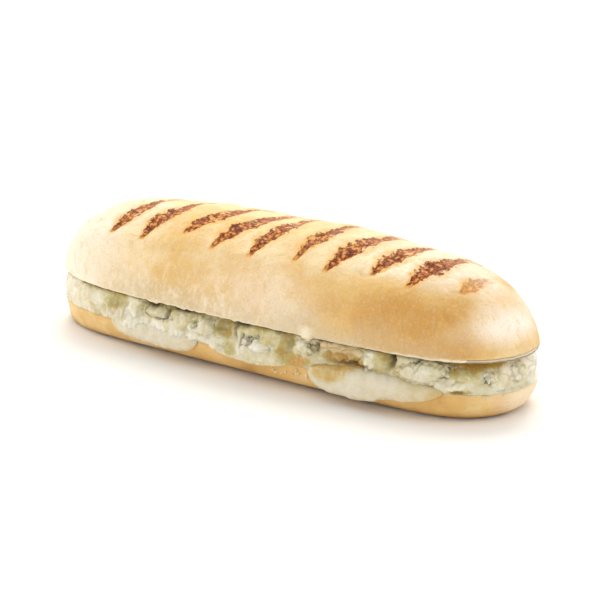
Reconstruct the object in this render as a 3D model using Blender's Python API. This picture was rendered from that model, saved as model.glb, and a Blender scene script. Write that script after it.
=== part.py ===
"""Grilled panini: a long soft roll, split, pressed and filled with melted mozzarella and blue cheese.

X runs along the roll, Y from the shown side to the hidden one, Z up. The origin is the middle of
the flat base. Every piece is a surface worked out on a grid from the sizes below.
"""

import math

import bmesh
import bpy
import numpy as np

# Plan outline of the roll
HALF_LENGTH = 0.1212
HALF_WIDTH = 0.0380
END_REACH = 0.048
STRAIGHTNESS = 2.6

# Levels of the section, all measured from the table
CROWN_Z = 0.0630
CROWN_FALL = 0.120
CROWN_PEAK_X = 0.010
WIDEST_Z = 0.0214
SHOULDER_POWER = 2.2
CEILING_Z = 0.0260
CEILING_RISE = 0.0012
FLOOR_Z = 0.0130
FLOOR_RISE = 0.0004
RIM_RADIUS = 0.0013
CUT_HOLLOW = 0.0005

# Lower half: its reach, the level where its foot starts to round, and how far the foot draws in
BOTTOM_REACH = 0.985
FOOT_Z = 0.0108
FOOT_AT_SIDES = 0.42
FOOT_AT_LEFT = 0.09
FOOT_AT_RIGHT = 0.24
FOOT_POWER = 6

# Clearance between pieces that touch, larger where a slice bends over the rim
GAP = 0.0004
SLICE_LIFT = 0.0007
TIP_LIFT = 0.0007
SLICE_CLEARANCE = 0.0009
LUMP_CLEARANCE = 0.0005

# Crust relief, the height over which it fades above the slit, and the band of the lower wall it keeps to
SWELL = 0.0008
SWELL_LENGTH = 0.055
DIMPLE = 0.00035
DIMPLE_LENGTH = 0.016
TOP_SEED = 11
BOTTOM_SEED = 23
RELIEF_FADE = 0.007
WALL_BAND = (0.001, 0.005, 0.006)

# Grill marks: place along the crown, turn from the roll's length in degrees, front end, back end
GRILL_MARKS = (
    (-0.0698, 66, -0.025, 0.016),
    (-0.0510, 67, -0.027, 0.019),
    (-0.0268, 61, -0.024, 0.022),
    (-0.0080, 63, -0.028, 0.024),
    (0.0062, 73, -0.028, 0.022),
    (0.0272, 73, -0.026, 0.025),
    (0.0474, 68, -0.027, 0.023),
    (0.0655, 72, -0.024, 0.024),
    (0.0842, 70, -0.024, 0.021),
    (0.0998, 76, -0.016, 0.012),
)
MARK_DEPTH = 0.0007
MARK_FLOOR = 0.0015
MARK_SHOULDER = 0.0052
MARK_FADE = 0.006

# Melted cheese layer: reach of its edge, its lobes, how far it draws in over the stretch towards
# both ends, and its belly between the halves
MELT_REACH = 0.955
MELT_LOBE = 0.026
MELT_LOBE_LENGTH = 0.019
MELT_END_DRAW = 0.032
MELT_END = (0.100, 0.118)
MELT_BELLY = 0.050
BELLY_POWER = 0.8
MELT_LEVELS = (0.22, 0.48, 0.74, 1.0)
MELT_INNER = (0.0, 0.75)
MELT_SEED = 41

# Lips of the melted layer over the lower rim: place along the roll, side (-1 front), half length
LIPS = (
    (0.0070, -1, 0.0235),
    (-0.0560, 1, 0.0310),
    (0.0780, 1, 0.0220),
)
LIP_DROP = 0.0024
LIP_LENGTH = 0.034
LIP_UNEVEN = (-1.2, 1.0)
LIP_FADE = 0.008
LIP_THICKNESS = 0.0010
LIP_SHARES = (0.0, 0.0, 0.35, 1.0)
LIP_TUCKED = 0.3
LIP_START = -0.0010
LIP_STEP = 0.0003
LIP_LIFT = 0.0006

# Hollows in the layer's edge: place along the roll, side (-1 front), level from the floor (0) to
# the ceiling (1), half length, half level, depth
HOLLOWS = (
    (0.0540, -1, 0.52, 0.0150, 0.32, 0.0052),
    (0.1060, -1, 0.95, 0.0140, 0.34, 0.0058),
    (-0.0140, -1, 0.95, 0.0120, 0.30, 0.0036),
    (-0.0600, 1, 0.90, 0.0130, 0.30, 0.0044),
    (0.0560, 1, 0.70, 0.0120, 0.30, 0.0048),
)

# Mozzarella slices: middle along the roll, side (-1 front), half length, drop over the rim, how much
# deeper the left end hangs than the middle, length lying inside, thickness, seed of the wavy hem
MOZZARELLA = {
    "mozzarella_left": (-0.0475, -1, 0.025, 0.0056, -0.2, 0.022, 0.0024, 31),
    "mozzarella_right": (0.0668, -1, 0.031, 0.0062, 0.45, 0.026, 0.0038, 32),
    "mozzarella_back": (0.016, 1, 0.036, 0.0062, 0.0, 0.022, 0.0026, 33),
}
HEM_WAVE = 0.16
HEM_LENGTH = 0.9
TAPER_POWER = 2.6

# Points of a slice's section, as shares of its inner length and of its drop over the rim, and how
# thick its last ones are
STATIONS_INSIDE = (1.0, 0.92, 0.45, 0.065, 0.03)
STATIONS_HANGING = (0.0, 0.09, 0.45, 0.82, 0.95, 1.0)
HEM_SHARES = (0.0, 0.75, 0.0)

# Blue cheese lumps: place along the roll, side (-1 front, 1 back), inset from the outline,
# height of the middle, half length, half depth, half height
LUMPS = (
    (-0.0445, -1, 0.0068, 0.0204, 0.0112, 0.0085, 0.0062),
    (-0.0200, -1, 0.0064, 0.0198, 0.0094, 0.0080, 0.0062),
    (0.0105, -1, 0.0058, 0.0190, 0.0120, 0.0082, 0.0062),
    (0.0340, -1, 0.0040, 0.0212, 0.0054, 0.0054, 0.0046),
    (0.0885, -1, 0.0062, 0.0206, 0.0132, 0.0085, 0.0060),
    (0.1140, -1, 0.0038, 0.0184, 0.0040, 0.0040, 0.0038),
    (0.1207, -1, 0.0066, 0.0198, 0.0050, 0.0056, 0.0054),
    (-0.0820, 1, 0.0068, 0.0198, 0.0108, 0.0080, 0.0060),
    (-0.0330, 1, 0.0062, 0.0194, 0.0094, 0.0080, 0.0062),
    (0.0760, 1, 0.0068, 0.0200, 0.0118, 0.0084, 0.0060),
)
LUMP_ROUGHNESS = 0.16
LUMP_WAVES = (1.5, 0.8)
LUMP_SEED = 50

# Points round each surface and along its section
TOP_COLUMNS = 96
BOTTOM_COLUMNS = 68
MELT_COLUMNS = 80
SLICE_COLUMNS = 15
LUMP_COLUMNS = 12
LUMP_ROWS = 9
CROWN_STEPS = 14
FOOT_STEPS = 5
PATH_STEPS = 241
RIM_TURNS = (0.0, 30.0, 60.0, 90.0)
CUT_FACE = (0.0, 0.45, 0.80, 0.93)
BASE_FACE = (0.0, 0.50)

MERGE = 0.00001
SHARP_ANGLE = 60.0


def clear_scene():
    for thing in list(bpy.data.objects):
        bpy.data.objects.remove(thing, do_unlink=True)


def material(name, hex_colour, roughness):
    """A plain finish of one sRGB colour."""
    channels = [int(hex_colour[i : i + 2], 16) / 255 for i in (1, 3, 5)]
    linear = [c / 12.92 if c <= 0.04045 else ((c + 0.055) / 1.055) ** 2.4 for c in channels]
    made = bpy.data.materials.new(name)
    made.use_nodes = True
    shader = made.node_tree.nodes["Principled BSDF"]
    shader.inputs["Base Color"].default_value = (*linear, 1.0)
    shader.inputs["Roughness"].default_value = roughness
    shader.inputs["Metallic"].default_value = 0.0
    made.diffuse_color = (*linear, 1.0)
    return made


def smoothstep(value, low, high):
    part = np.clip((value - low) / (high - low), 0.0, 1.0)
    return part * part * (3.0 - 2.0 * part)


def soft_noise(points, wavelength, seed, waves=7):
    """A smooth sum of cosine waves with seeded directions, about -1 to 1, at points (..., 3)."""
    rng = np.random.default_rng(seed)
    directions = rng.normal(size=(waves, 3))
    directions /= np.linalg.norm(directions, axis=1, keepdims=True)
    directions *= 2.0 * math.pi / wavelength * rng.uniform(0.7, 1.4, size=(waves, 1))
    phases = rng.uniform(0.0, 2.0 * math.pi, size=waves)
    return np.cos(points @ directions.T + phases).sum(axis=-1) / math.sqrt(2.0 * waves)


def outline(angle, reach):
    """Plan outline: a straight-sided oval drawn in towards the spine as reach goes from 1 to 0."""
    spine = (HALF_LENGTH - END_REACH) * np.tanh(STRAIGHTNESS * np.cos(angle))
    x = spine / math.tanh(STRAIGHTNESS) + END_REACH * reach * np.cos(angle)
    return x, HALF_WIDTH * reach * np.sin(angle)


def even_angles(count):
    """Angles whose points lie evenly along the outline, the same on both sides of the spine."""
    fine = np.linspace(0.0, math.pi, 721)
    x, y = outline(fine, 1.0)
    run = np.concatenate([[0.0], np.cumsum(np.hypot(np.diff(x), np.diff(y)))])
    half = np.interp(np.linspace(0.0, run[-1], count // 2 + 1), run, fine)
    return np.concatenate([half, -half[-2:0:-1]])


def angle_at(x, side):
    """The outline's angle where it passes a place along the roll, on the side of that sign."""
    fine = np.linspace(0.0, math.pi, 721)
    return side * np.interp(x, outline(fine, 1.0)[0][::-1], fine[::-1])


def slit_ceiling(x):
    return CEILING_Z + CEILING_RISE * x / HALF_LENGTH


def slit_floor(x):
    return FLOOR_Z + FLOOR_RISE * x / HALF_LENGTH


def rim_arc(wall_reach, upwards):
    """Rounded rim from the cut face to the wall: reach and height of each point."""
    turn = np.radians(RIM_TURNS)
    reach = wall_reach - RIM_RADIUS * (1.0 - np.sin(turn)) / HALF_WIDTH
    lift = RIM_RADIUS * (1.0 - np.cos(turn))
    return reach, lift if upwards else -lift


def top_profile():
    """Reach, height above the ceiling at the rim, and share of the way up to the crown."""
    rim_share = (CEILING_Z + RIM_RADIUS - WIDEST_Z) / (CROWN_Z - WIDEST_Z)
    turn = np.linspace(math.asin(rim_share ** (SHOULDER_POWER / 2)), math.pi / 2, CROWN_STEPS)
    wall_reach = np.cos(turn) ** (2 / SHOULDER_POWER)
    wall_reach[-1] = 0.0
    climb = np.sin(turn) ** (2 / SHOULDER_POWER)
    arc_reach, arc_z = rim_arc(wall_reach[0], True)
    reach = np.concatenate([CUT_FACE, arc_reach[:-1], wall_reach])
    height = np.concatenate([np.full(len(CUT_FACE), CUT_HOLLOW), arc_z[:-1], np.zeros(len(turn))])
    share = np.concatenate([np.zeros(len(reach) - len(climb)), climb])
    return reach, height, share


def foot_depth(angle):
    """How far the foot draws in: more along the sides than round the ends, least at the left end."""
    at_end = FOOT_AT_LEFT + (FOOT_AT_RIGHT - FOOT_AT_LEFT) * (0.5 + 0.5 * np.cos(angle))
    return at_end + (FOOT_AT_SIDES - at_end) * np.sin(angle) ** FOOT_POWER


def bottom_profile():
    """Section of the lower half from the base's middle, round the foot and over the rim.

    Gives each point's scale, its share of the foot's drawing in, and its height: its reach is the
    scale times the wall's reach less that share of the foot's depth.
    """
    turn = np.linspace(math.pi / 2, 0.0, FOOT_STEPS)
    arc_reach, arc_z = rim_arc(BOTTOM_REACH, False)
    scale = np.concatenate([BASE_FACE, np.ones(FOOT_STEPS), arc_reach[::-1] / BOTTOM_REACH, CUT_FACE[::-1]])
    draw = np.zeros(len(scale))
    draw[: len(BASE_FACE)] = 1.0
    draw[len(BASE_FACE) : len(BASE_FACE) + FOOT_STEPS] = 1.0 - np.cos(turn)
    foot_z = FOOT_Z * (1.0 - np.sin(turn))
    cut_z = np.full(len(CUT_FACE), FLOOR_Z - CUT_HOLLOW)
    z = np.concatenate([np.zeros(len(BASE_FACE)), foot_z, FLOOR_Z + arc_z[::-1], cut_z])
    return scale, draw, z


def mark_strength(points):
    """How deep the grill's bars pressed at each point, 0 to 1."""
    strength = np.zeros(points.shape[:-1])
    for crown_x, turn, front_y, back_y in GRILL_MARKS:
        along = np.array((math.cos(math.radians(turn)), math.sin(math.radians(turn))))
        off = (points[..., 0] - crown_x) * along[1] - points[..., 1] * along[0]
        across = 1.0 - smoothstep(np.abs(off), MARK_FLOOR, MARK_SHOULDER)
        ends = smoothstep(points[..., 1], front_y, front_y + MARK_FADE)
        ends *= 1.0 - smoothstep(points[..., 1], back_y - MARK_FADE, back_y)
        strength = np.maximum(strength, across * ends)
    return strength


def outward(points, core_z):
    """Unit vectors away from a straight core that runs inside the roll at that height."""
    core_x = np.clip(points[..., 0], -(HALF_LENGTH - END_REACH), HALF_LENGTH - END_REACH)
    away = np.stack([points[..., 0] - core_x, points[..., 1], points[..., 2] - core_z], axis=-1)
    return away / np.linalg.norm(away, axis=-1, keepdims=True)


def swell(points, seed):
    """The hand-shaped unevenness of the crust, in metres."""
    broad = SWELL * soft_noise(points, SWELL_LENGTH, seed)
    return broad + DIMPLE * soft_noise(points, DIMPLE_LENGTH, seed + 1)


def closed_surface(name, grid, finish):
    """An object from a grid whose columns run round and whose first and last rows close on themselves."""
    rows, columns = grid.shape[:2]
    row, column = np.meshgrid(np.arange(rows - 1), np.arange(columns), indexing="ij")
    after = (column + 1) % columns
    near, beside = row * columns + column, row * columns + after
    above, across = near + columns, beside + columns
    faces = np.concatenate([np.stack([near, beside, across], axis=-1).reshape(-1, 3),
                            np.stack([near, across, above], axis=-1).reshape(-1, 3)])
    mesh = bpy.data.meshes.new(name)
    mesh.from_pydata(grid.reshape(-1, 3).tolist(), [], faces.tolist())
    work = bmesh.new()
    work.from_mesh(mesh)
    bmesh.ops.remove_doubles(work, verts=work.verts, dist=MERGE)
    bmesh.ops.recalc_face_normals(work, faces=work.faces)
    if work.calc_volume(signed=True) < 0.0:
        bmesh.ops.reverse_faces(work, faces=work.faces)
    work.to_mesh(mesh)
    work.free()
    mesh.materials.append(finish)
    mesh.shade_smooth()
    mesh.set_sharp_from_angle(angle=math.radians(SHARP_ANGLE))
    made = bpy.data.objects.new(name, mesh)
    bpy.context.scene.collection.objects.link(made)
    return made


def roll_top(crust):
    """The upper half: cut face, rounded rim, steep wall and a crown that the press has flattened."""
    reach, height, share = top_profile()
    angle = even_angles(TOP_COLUMNS)
    x, y = outline(angle[None, :], reach[:, None])
    crown = CROWN_Z * (1.0 - CROWN_FALL * ((x - CROWN_PEAK_X) / HALF_LENGTH) ** 2)
    wall = WIDEST_Z + (crown - WIDEST_Z) * share[:, None]
    z = np.where(share[:, None] > 0.0, wall, slit_ceiling(x) + height[:, None])
    grid = np.stack([x, y, z], axis=-1)
    fade = smoothstep(z, CEILING_Z + 2 * RIM_RADIUS, CEILING_Z + 2 * RIM_RADIUS + RELIEF_FADE)
    push = fade * (swell(grid, TOP_SEED) - MARK_DEPTH * mark_strength(grid))
    grid += push[..., None] * outward(grid, WIDEST_Z)
    return closed_surface("roll_top", grid, crust)


def roll_bottom(crust):
    """The lower half: flat base that the part rests on, rounded foot, wall, rim and cut face."""
    scale, draw, z_middle = bottom_profile()
    angle = even_angles(BOTTOM_COLUMNS)
    x, y = outline(angle, scale[:, None] * (BOTTOM_REACH - foot_depth(angle) * draw[:, None]))
    z = z_middle[:, None] + (slit_floor(x) - FLOOR_Z) * smoothstep(z_middle, 0.0, FLOOR_Z)[:, None]
    grid = np.stack([x, y, z], axis=-1)
    low, full, falling = WALL_BAND
    fade = smoothstep(z, low, full) * (1.0 - smoothstep(z, falling, FLOOR_Z - RIM_RADIUS))
    push = fade * np.minimum(swell(grid, BOTTOM_SEED), 0.0)
    grid[..., :2] += push[..., None] * outward(grid, FLOOR_Z)[..., :2]
    return closed_surface("roll_bottom", grid, crust)


def over_rim(distance, lift, angle):
    """Reach and height of points along the lower half's cut face, rim and wall, lifted off it.

    Distance is measured from the rim, with what lies inside below nought.
    """
    scale, draw, z = bottom_profile()
    first = len(BASE_FACE)
    scale, draw, z = scale[: first - 1 : -1], draw[: first - 1 : -1], z[: first - 1 : -1]
    out = HALF_WIDTH * scale * (BOTTOM_REACH - FOOT_AT_SIDES * draw)
    run = np.concatenate([[0.0], np.cumsum(np.hypot(np.diff(out), np.diff(z)))])
    at = np.linspace(0.0, run[-1], PATH_STEPS)
    scale, draw, z = np.interp(at, run, scale), np.interp(at, run, draw), np.interp(at, run, z)
    out = HALF_WIDTH * scale * (BOTTOM_REACH - FOOT_AT_SIDES * draw)
    slope_out, slope_up = np.gradient(out, at), np.gradient(z, at)
    at = at - at[np.argmin(np.abs(z - (FLOOR_Z - RIM_RADIUS / 2)))]
    wall = BOTTOM_REACH - foot_depth(angle) * np.interp(distance, at, draw)
    reach = np.interp(distance, at, scale) * wall - lift * np.interp(distance, at, slope_up) / HALF_WIDTH
    return reach, np.interp(distance, at, z) + lift * np.interp(distance, at, slope_out)


def mozzarella_slice(name, sizes, finish, grow=0.0):
    """A slice that lies on the cut face, softens over the rim and hangs down the wall.

    Its section is a flat rounded bar bent along the path, and its thickness and length fade
    towards both ends of the slice, so that it closes there.
    """
    middle_x, side, half_length, drop, lean, inside, thickness, seed = sizes
    place = np.sin(np.linspace(-math.pi / 2, math.pi / 2, SLICE_COLUMNS))
    round_off = np.sqrt(np.clip(1.0 - np.abs(place) ** TAPER_POWER, 0.0, 1.0))[:, None]
    wave = 1.0 - lean * place
    wave += HEM_WAVE * soft_noise(np.stack([place, 0 * place, 0 * place], -1), HEM_LENGTH, seed)
    inward = -(inside + grow) * round_off * np.array(STATIONS_INSIDE)
    down = (drop * wave[:, None] + grow) * round_off * np.array(STATIONS_HANGING)
    face = np.concatenate([inward, down], axis=1)
    edge = np.ones(face.shape[1])
    edge[[0, -2, -1]] = HEM_SHARES
    distance = np.concatenate([face, face[:, -2:0:-1]], axis=1)
    share = 0.5 + 0.5 * np.concatenate([edge, -edge[-2:0:-1]])
    lift = SLICE_LIFT + (TIP_LIFT - grow) * (1.0 - round_off)
    lift = lift + round_off * (thickness * share + grow * (2.0 * share - 1.0))
    angle = angle_at(middle_x + (half_length + 2 * grow) * place, side)[:, None]
    reach, height = over_rim(distance, lift, angle)
    x, y = outline(angle, reach)
    grid = np.stack([x, y, height + slit_floor(x) - FLOOR_Z], axis=-1)
    return closed_surface(name, grid, finish)


def cheese_lump(name, sizes, seed, finish, grow=0.0):
    """A crumbly lump held between floor and ceiling: a rough ellipsoid, pressed flat where it meets them."""
    place, side, inset, middle_z, half_length, half_depth, half_height = sizes
    angle = float(angle_at(place, side))
    x, y = outline(angle, 1.0)
    ahead = np.array(outline(angle + 0.01, 1.0)) - np.array(outline(angle - 0.01, 1.0))
    along = ahead / np.linalg.norm(ahead)
    inward = np.array((-along[1], along[0]))
    polar = np.linspace(0.0, math.pi, LUMP_ROWS)[:, None]
    round_angle = np.linspace(0.0, 2.0 * math.pi, LUMP_COLUMNS, endpoint=False)[None, :]
    sphere = np.stack([np.cos(polar) + 0 * round_angle, np.sin(polar) * np.cos(round_angle),
                       np.sin(polar) * np.sin(round_angle)], axis=-1)
    rough = 1.0 + LUMP_ROUGHNESS * soft_noise(sphere, LUMP_WAVES[0], seed)
    rough += 0.5 * LUMP_ROUGHNESS * soft_noise(sphere, LUMP_WAVES[1], seed + 1)
    local = sphere * rough[..., None] * (half_length + grow, half_depth + grow, half_height + grow)
    centre = np.array((x, y)) + inset * inward
    plan = centre + local[..., :1] * along + local[..., 1:2] * inward
    low = slit_floor(plan[..., 0]) + GAP - grow
    high = slit_ceiling(plan[..., 0]) - GAP + grow
    z = np.clip(middle_z + local[..., 2], low, high)
    return closed_surface(name, np.concatenate([plan, z[..., None]], axis=-1), finish)


def hollow_depth(x, y, level):
    """How far the hollows pull the layer's edge in: a soft bump for each, over place and level."""
    depth = np.zeros(np.broadcast(x, level).shape)
    for place, side, middle, half_length, half_level, deep in HOLLOWS:
        along = np.exp(-(((x - place) / half_length) ** 2)) * (np.sign(y) == side)
        depth += deep * along * np.exp(-(((level - middle) / half_level) ** 2))
    return depth


def lip_share(x, y):
    """Where the layer laps over the rim: 1 along its lips, falling to 0 at their ends."""
    share = np.zeros(x.shape)
    for middle_x, side, half_length in LIPS:
        left = half_length - np.abs(x - middle_x)
        share = np.maximum(share, smoothstep(left, 0.0, LIP_FADE) * (np.sign(y) == side))
    return share


def melt_grid():
    """The melted layer: fills the slit, bellies out between the halves and laps over the lower rim.

    Its rows run along the floor, over the rim to the lip's hem, back up the outside and in along
    the ceiling.
    """
    angle = even_angles(MELT_COLUMNS)
    edge_x, edge_y = outline(angle, 1.0)
    edge = np.stack([edge_x, edge_y, 0 * edge_x], axis=-1)
    inner = np.array(MELT_INNER)[:, None]
    lobes = MELT_REACH + MELT_LOBE * soft_noise(edge, MELT_LOBE_LENGTH, MELT_SEED)
    lobes = lobes - MELT_END_DRAW * smoothstep(np.abs(edge_x), *MELT_END)
    hang = LIP_DROP * smoothstep(soft_noise(edge, LIP_LENGTH, MELT_SEED + 1), *LIP_UNEVEN)
    ends = np.stack([LIP_START + 0 * hang, 0 * hang, hang, hang])
    tucked = LIP_START + LIP_STEP * np.arange(len(ends))[:, None]
    lapping = lip_share(edge_x, edge_y)
    distance = tucked + (ends - tucked) * lapping
    thickness = LIP_THICKNESS * (LIP_TUCKED + (1.0 - LIP_TUCKED) * lapping)
    lift = LIP_LIFT + thickness * np.array(LIP_SHARES)[:, None]
    lip_reach, lip_z = over_rim(distance, lift, angle)
    level = np.array(MELT_LEVELS)[:, None]
    belly = MELT_BELLY * (np.sin(math.pi * level) ** BELLY_POWER - level / 2)
    side_reach = lobes + belly - hollow_depth(edge_x, edge_y, level) / HALF_WIDTH
    reach = np.concatenate([inner * lobes, lip_reach, side_reach, inner[::-1] * lobes])
    x, y = outline(angle, reach)
    share = np.concatenate([0 * inner, np.zeros((len(lip_z), 1)), level, 0 * inner + 1.0])
    hanging = np.zeros(reach.shape)
    hanging[len(inner) : len(inner) + len(lip_z)] = lip_z - FLOOR_Z - GAP
    low = slit_floor(x) + GAP
    high = slit_ceiling(x) - GAP
    return np.stack([x, y, low + (high - low) * share + hanging], axis=-1)


def keep_largest_body(thing):
    """Drops the loose scraps that cutting leaves."""
    work = bmesh.new()
    work.from_mesh(thing.data)
    bodies = []
    unseen = set(work.verts)
    while unseen:
        front = [unseen.pop()]
        body = set(front)
        while front:
            for edge in front.pop().link_edges:
                for vert in edge.verts:
                    if vert in unseen:
                        unseen.remove(vert)
                        body.add(vert)
                        front.append(vert)
        bodies.append(body)
    largest = max(bodies, key=len)
    loose = [vert for body in bodies if body is not largest for vert in body]
    bmesh.ops.delete(work, geom=loose, context="VERTS")
    work.to_mesh(thing.data)
    work.free()


def cut_away(thing, cutters):
    """Takes shapes out of an object one after another, then removes them."""
    for cutter in cutters:
        cutter.hide_render = True
        cutter.display_type = "WIRE"
        cut = thing.modifiers.new("cut", "BOOLEAN")
        cut.operation = "DIFFERENCE"
        cut.object = cutter
        bpy.context.view_layer.update()
        graph = bpy.context.evaluated_depsgraph_get()
        cut_mesh = bpy.data.meshes.new_from_object(thing.evaluated_get(graph))
        thing.modifiers.remove(cut)
        cut_mesh.name = thing.name
        thing.data = cut_mesh
        bpy.data.objects.remove(cutter, do_unlink=True)
    keep_largest_body(thing)


def slice_cutters(finish):
    """The mozzarella slices, larger by the clearance."""
    return [
        mozzarella_slice("cutter_of_" + name, sizes, finish, SLICE_CLEARANCE)
        for name, sizes in MOZZARELLA.items()
    ]


def main():
    clear_scene()
    crust = material("baked_crust", "#E3BE82", 0.75)
    pale_crust = material("pale_crust", "#DDB273", 0.75)
    mozzarella = material("melted_mozzarella", "#EAE2C8", 0.30)
    melt = material("melted_cheese_blend", "#C9B676", 0.30)
    blue = material("blue_cheese", "#CFCBB4", 0.50)

    roll_bottom(pale_crust)
    roll_top(crust)
    for name, sizes in MOZZARELLA.items():
        mozzarella_slice(name, sizes, mozzarella)
    lump_cutters = []
    for number, sizes in enumerate(LUMPS, start=1):
        seed = LUMP_SEED + number
        lump = cheese_lump(f"blue_cheese_{number}", sizes, seed, blue)
        cut_away(lump, slice_cutters(mozzarella))
        lump_cutters.append(cheese_lump(f"cutter_of_lump_{number}", sizes, seed, blue, LUMP_CLEARANCE))
    layer = closed_surface("melted_cheese", melt_grid(), melt)
    cut_away(layer, slice_cutters(mozzarella) + lump_cutters)


if __name__ == "__main__":
    main()
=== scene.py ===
"""Looks of a grilled panini: a split soft roll with mozzarella and blue cheese melting out of it.

Every surface is worked out with numpy on a grid that runs round the roll or round a piece of
cheese, over the same outline and section as the solids that it stands for. The finishes are node
materials that read Object coordinates and the pieces' own attributes.
"""

import logging
import math
from dataclasses import dataclass
from enum import Enum
from typing import Any, ClassVar, Sequence

import bpy
import numpy as np
from mathutils import Matrix


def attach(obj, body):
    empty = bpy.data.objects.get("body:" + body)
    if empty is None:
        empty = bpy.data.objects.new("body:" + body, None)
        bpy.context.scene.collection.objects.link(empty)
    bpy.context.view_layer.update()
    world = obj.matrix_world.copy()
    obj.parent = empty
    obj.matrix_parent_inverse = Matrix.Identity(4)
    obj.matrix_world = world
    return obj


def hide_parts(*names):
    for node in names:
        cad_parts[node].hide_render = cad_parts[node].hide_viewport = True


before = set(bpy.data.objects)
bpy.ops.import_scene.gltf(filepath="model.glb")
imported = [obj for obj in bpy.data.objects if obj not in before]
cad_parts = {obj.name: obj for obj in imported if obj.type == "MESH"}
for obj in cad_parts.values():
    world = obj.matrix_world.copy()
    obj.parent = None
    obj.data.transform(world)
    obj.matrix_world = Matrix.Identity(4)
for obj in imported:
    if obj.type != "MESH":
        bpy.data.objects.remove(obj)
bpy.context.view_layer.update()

MM = 0.001
IMAGE_SIDE_PX = 611
LOG = logging.getLogger("panini")

Array = np.ndarray
Surface = tuple[Array, dict[str, Array]]
Socket, Material, Piece = bpy.types.NodeSocket, bpy.types.Material, bpy.types.Object
FINE_STEPS = 1441  # Points along half the outline, from which even ones are looked up


class Side(Enum):
    """The roll's long sides, as the sign of Y."""

    FRONT = -1
    BACK = 1


FRONT, BACK = Side.FRONT, Side.BACK


class EndCap(Enum):
    """How the first and last rows of a grid close."""

    SPINE = "spine"
    POINT = "point"


def smoothstep(value: Array, low: Any, high: Any) -> Array:
    """Rises from 0 at low to 1 at high with level ends: t*t*(3 - 2t).

    Args:
        value: What is looked up.
        low: Where the rise starts.
        high: Where it ends, below low for a fall.

    Returns:
        The share, 0 to 1.
    """
    part = np.clip((value - low) / (high - low), 0.0, 1.0)
    return part * part * (3.0 - 2.0 * part)


def bell(value: Array, middle: float, half: float) -> Array:
    """A soft bump: exp(-(distance / half)^2)."""
    return np.exp(-(((value - middle) / half) ** 2))


def unit_sphere(rows: int, columns: int) -> Array:
    """Points of a sphere of radius one, in rows from its top to its bottom."""
    polar = np.linspace(0.0, math.pi, rows)[:, None]
    turn = np.linspace(0.0, 2.0 * math.pi, columns, endpoint=False)[None, :]
    parts = [np.sin(polar) * np.cos(turn), np.sin(polar) * np.sin(turn), np.cos(polar) + 0 * turn]
    return np.stack(parts, axis=-1)


def run_length(across: Array, up: Array) -> Array:
    """Distance along a line of points, from its first point to each one."""
    return np.concatenate([[0.0], np.cumsum(np.hypot(np.diff(across), np.diff(up)))])


def soft_noise(points: Array, wavelength: float, seed: int, waves: int = 7) -> Array:
    """Smooth unevenness: a sum of cosine waves with seeded directions and phases.

    Args:
        points: Places, as (..., 3).
        wavelength: Middle wavelength, in the points' unit.
        seed: Seed of the directions and phases.
        waves: Number of waves.

    Returns:
        Values of about -1 to 1.
    """
    rng = np.random.default_rng(seed)
    directions = unit(rng.normal(size=(waves, 3)))
    directions *= 2.0 * math.pi / wavelength * rng.uniform(0.7, 1.4, size=(waves, 1))
    phases = rng.uniform(0.0, 2.0 * math.pi, size=waves)
    return np.cos(points @ directions.T + phases).sum(axis=-1) / math.sqrt(2.0 * waves)


def lattice_hash(cells: Array, seed: int) -> Array:
    """A scrambled whole number for each lattice cell, as (..., 3) indices give it."""
    mixed = cells[..., 0] * 73856093 ^ cells[..., 1] * 19349663 ^ cells[..., 2] * 83492791
    mixed = (mixed ^ (seed * 2654435761)) & 0xFFFFFFFF
    mixed = (mixed ^ (mixed >> 15)) * 2246822519 & 0xFFFFFFFF
    return mixed ^ (mixed >> 13)


def unit(vectors: Array) -> Array:
    """Vectors of length one, the same way as those given."""
    return vectors / np.maximum(np.linalg.norm(vectors, axis=-1, keepdims=True), 1e-9)


def gradient_noise(points: Array, grain: float, seed: int) -> Array:
    """Lattice noise: the corners' seeded slopes, blended over each cell of that grain.

    Args:
        points: Places, as (..., 3).
        grain: Cell size, in the points' unit.
        seed: Seed of the slopes.

    Returns:
        Values of about -1 to 1.
    """
    slopes = unit(np.random.default_rng(seed).normal(size=(256, 3)))
    scaled = points / grain
    cell = np.floor(scaled).astype(np.int64)
    inside = scaled - cell
    blend = inside**3 * (inside * (inside * 6.0 - 15.0) + 10.0)
    total = np.zeros(points.shape[:-1])
    for corner in np.ndindex(2, 2, 2):
        step = np.array(corner)
        slope = slopes[lattice_hash(cell + step, seed) & 255]
        weight = np.prod(np.where(step == 1, blend, 1.0 - blend), axis=-1)
        total += weight * ((inside - step) * slope).sum(axis=-1)
    return 1.6 * total


def rough_noise(points: Array, grain: float, seed: int, octaves: int = 3) -> Array:
    """Gradient noise summed over octaves, each half as coarse and half as strong as the last."""
    total = np.zeros(points.shape[:-1])
    for octave in range(octaves):
        total += 0.5**octave * gradient_noise(points, grain * 0.5**octave, seed + octave)
    return total


def cell_noise(points: Array, grain: float, seed: int) -> tuple[Array, Array]:
    """Distances to the nearest and second nearest of one seeded point in each lattice cell.

    Args:
        points: Places, as (..., 3).
        grain: Cell size, in the points' unit.
        seed: Seed of the points.

    Returns:
        Both distances, in cells.
    """
    scaled = points / grain
    cell = np.floor(scaled).astype(np.int64)
    nearest = np.full(points.shape[:-1], 9.0)
    second = nearest.copy()
    for offset in np.ndindex(3, 3, 3):
        near = cell + np.array(offset) - 1
        mixed = lattice_hash(near, seed)
        spot = np.stack([mixed & 1023, (mixed >> 10) & 1023, (mixed >> 20) & 1023], axis=-1) / 1023.0
        away = np.linalg.norm(near + spot - scaled, axis=-1)
        second = np.minimum(second, np.maximum(away, nearest))
        nearest = np.minimum(nearest, away)
    return nearest, second


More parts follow.
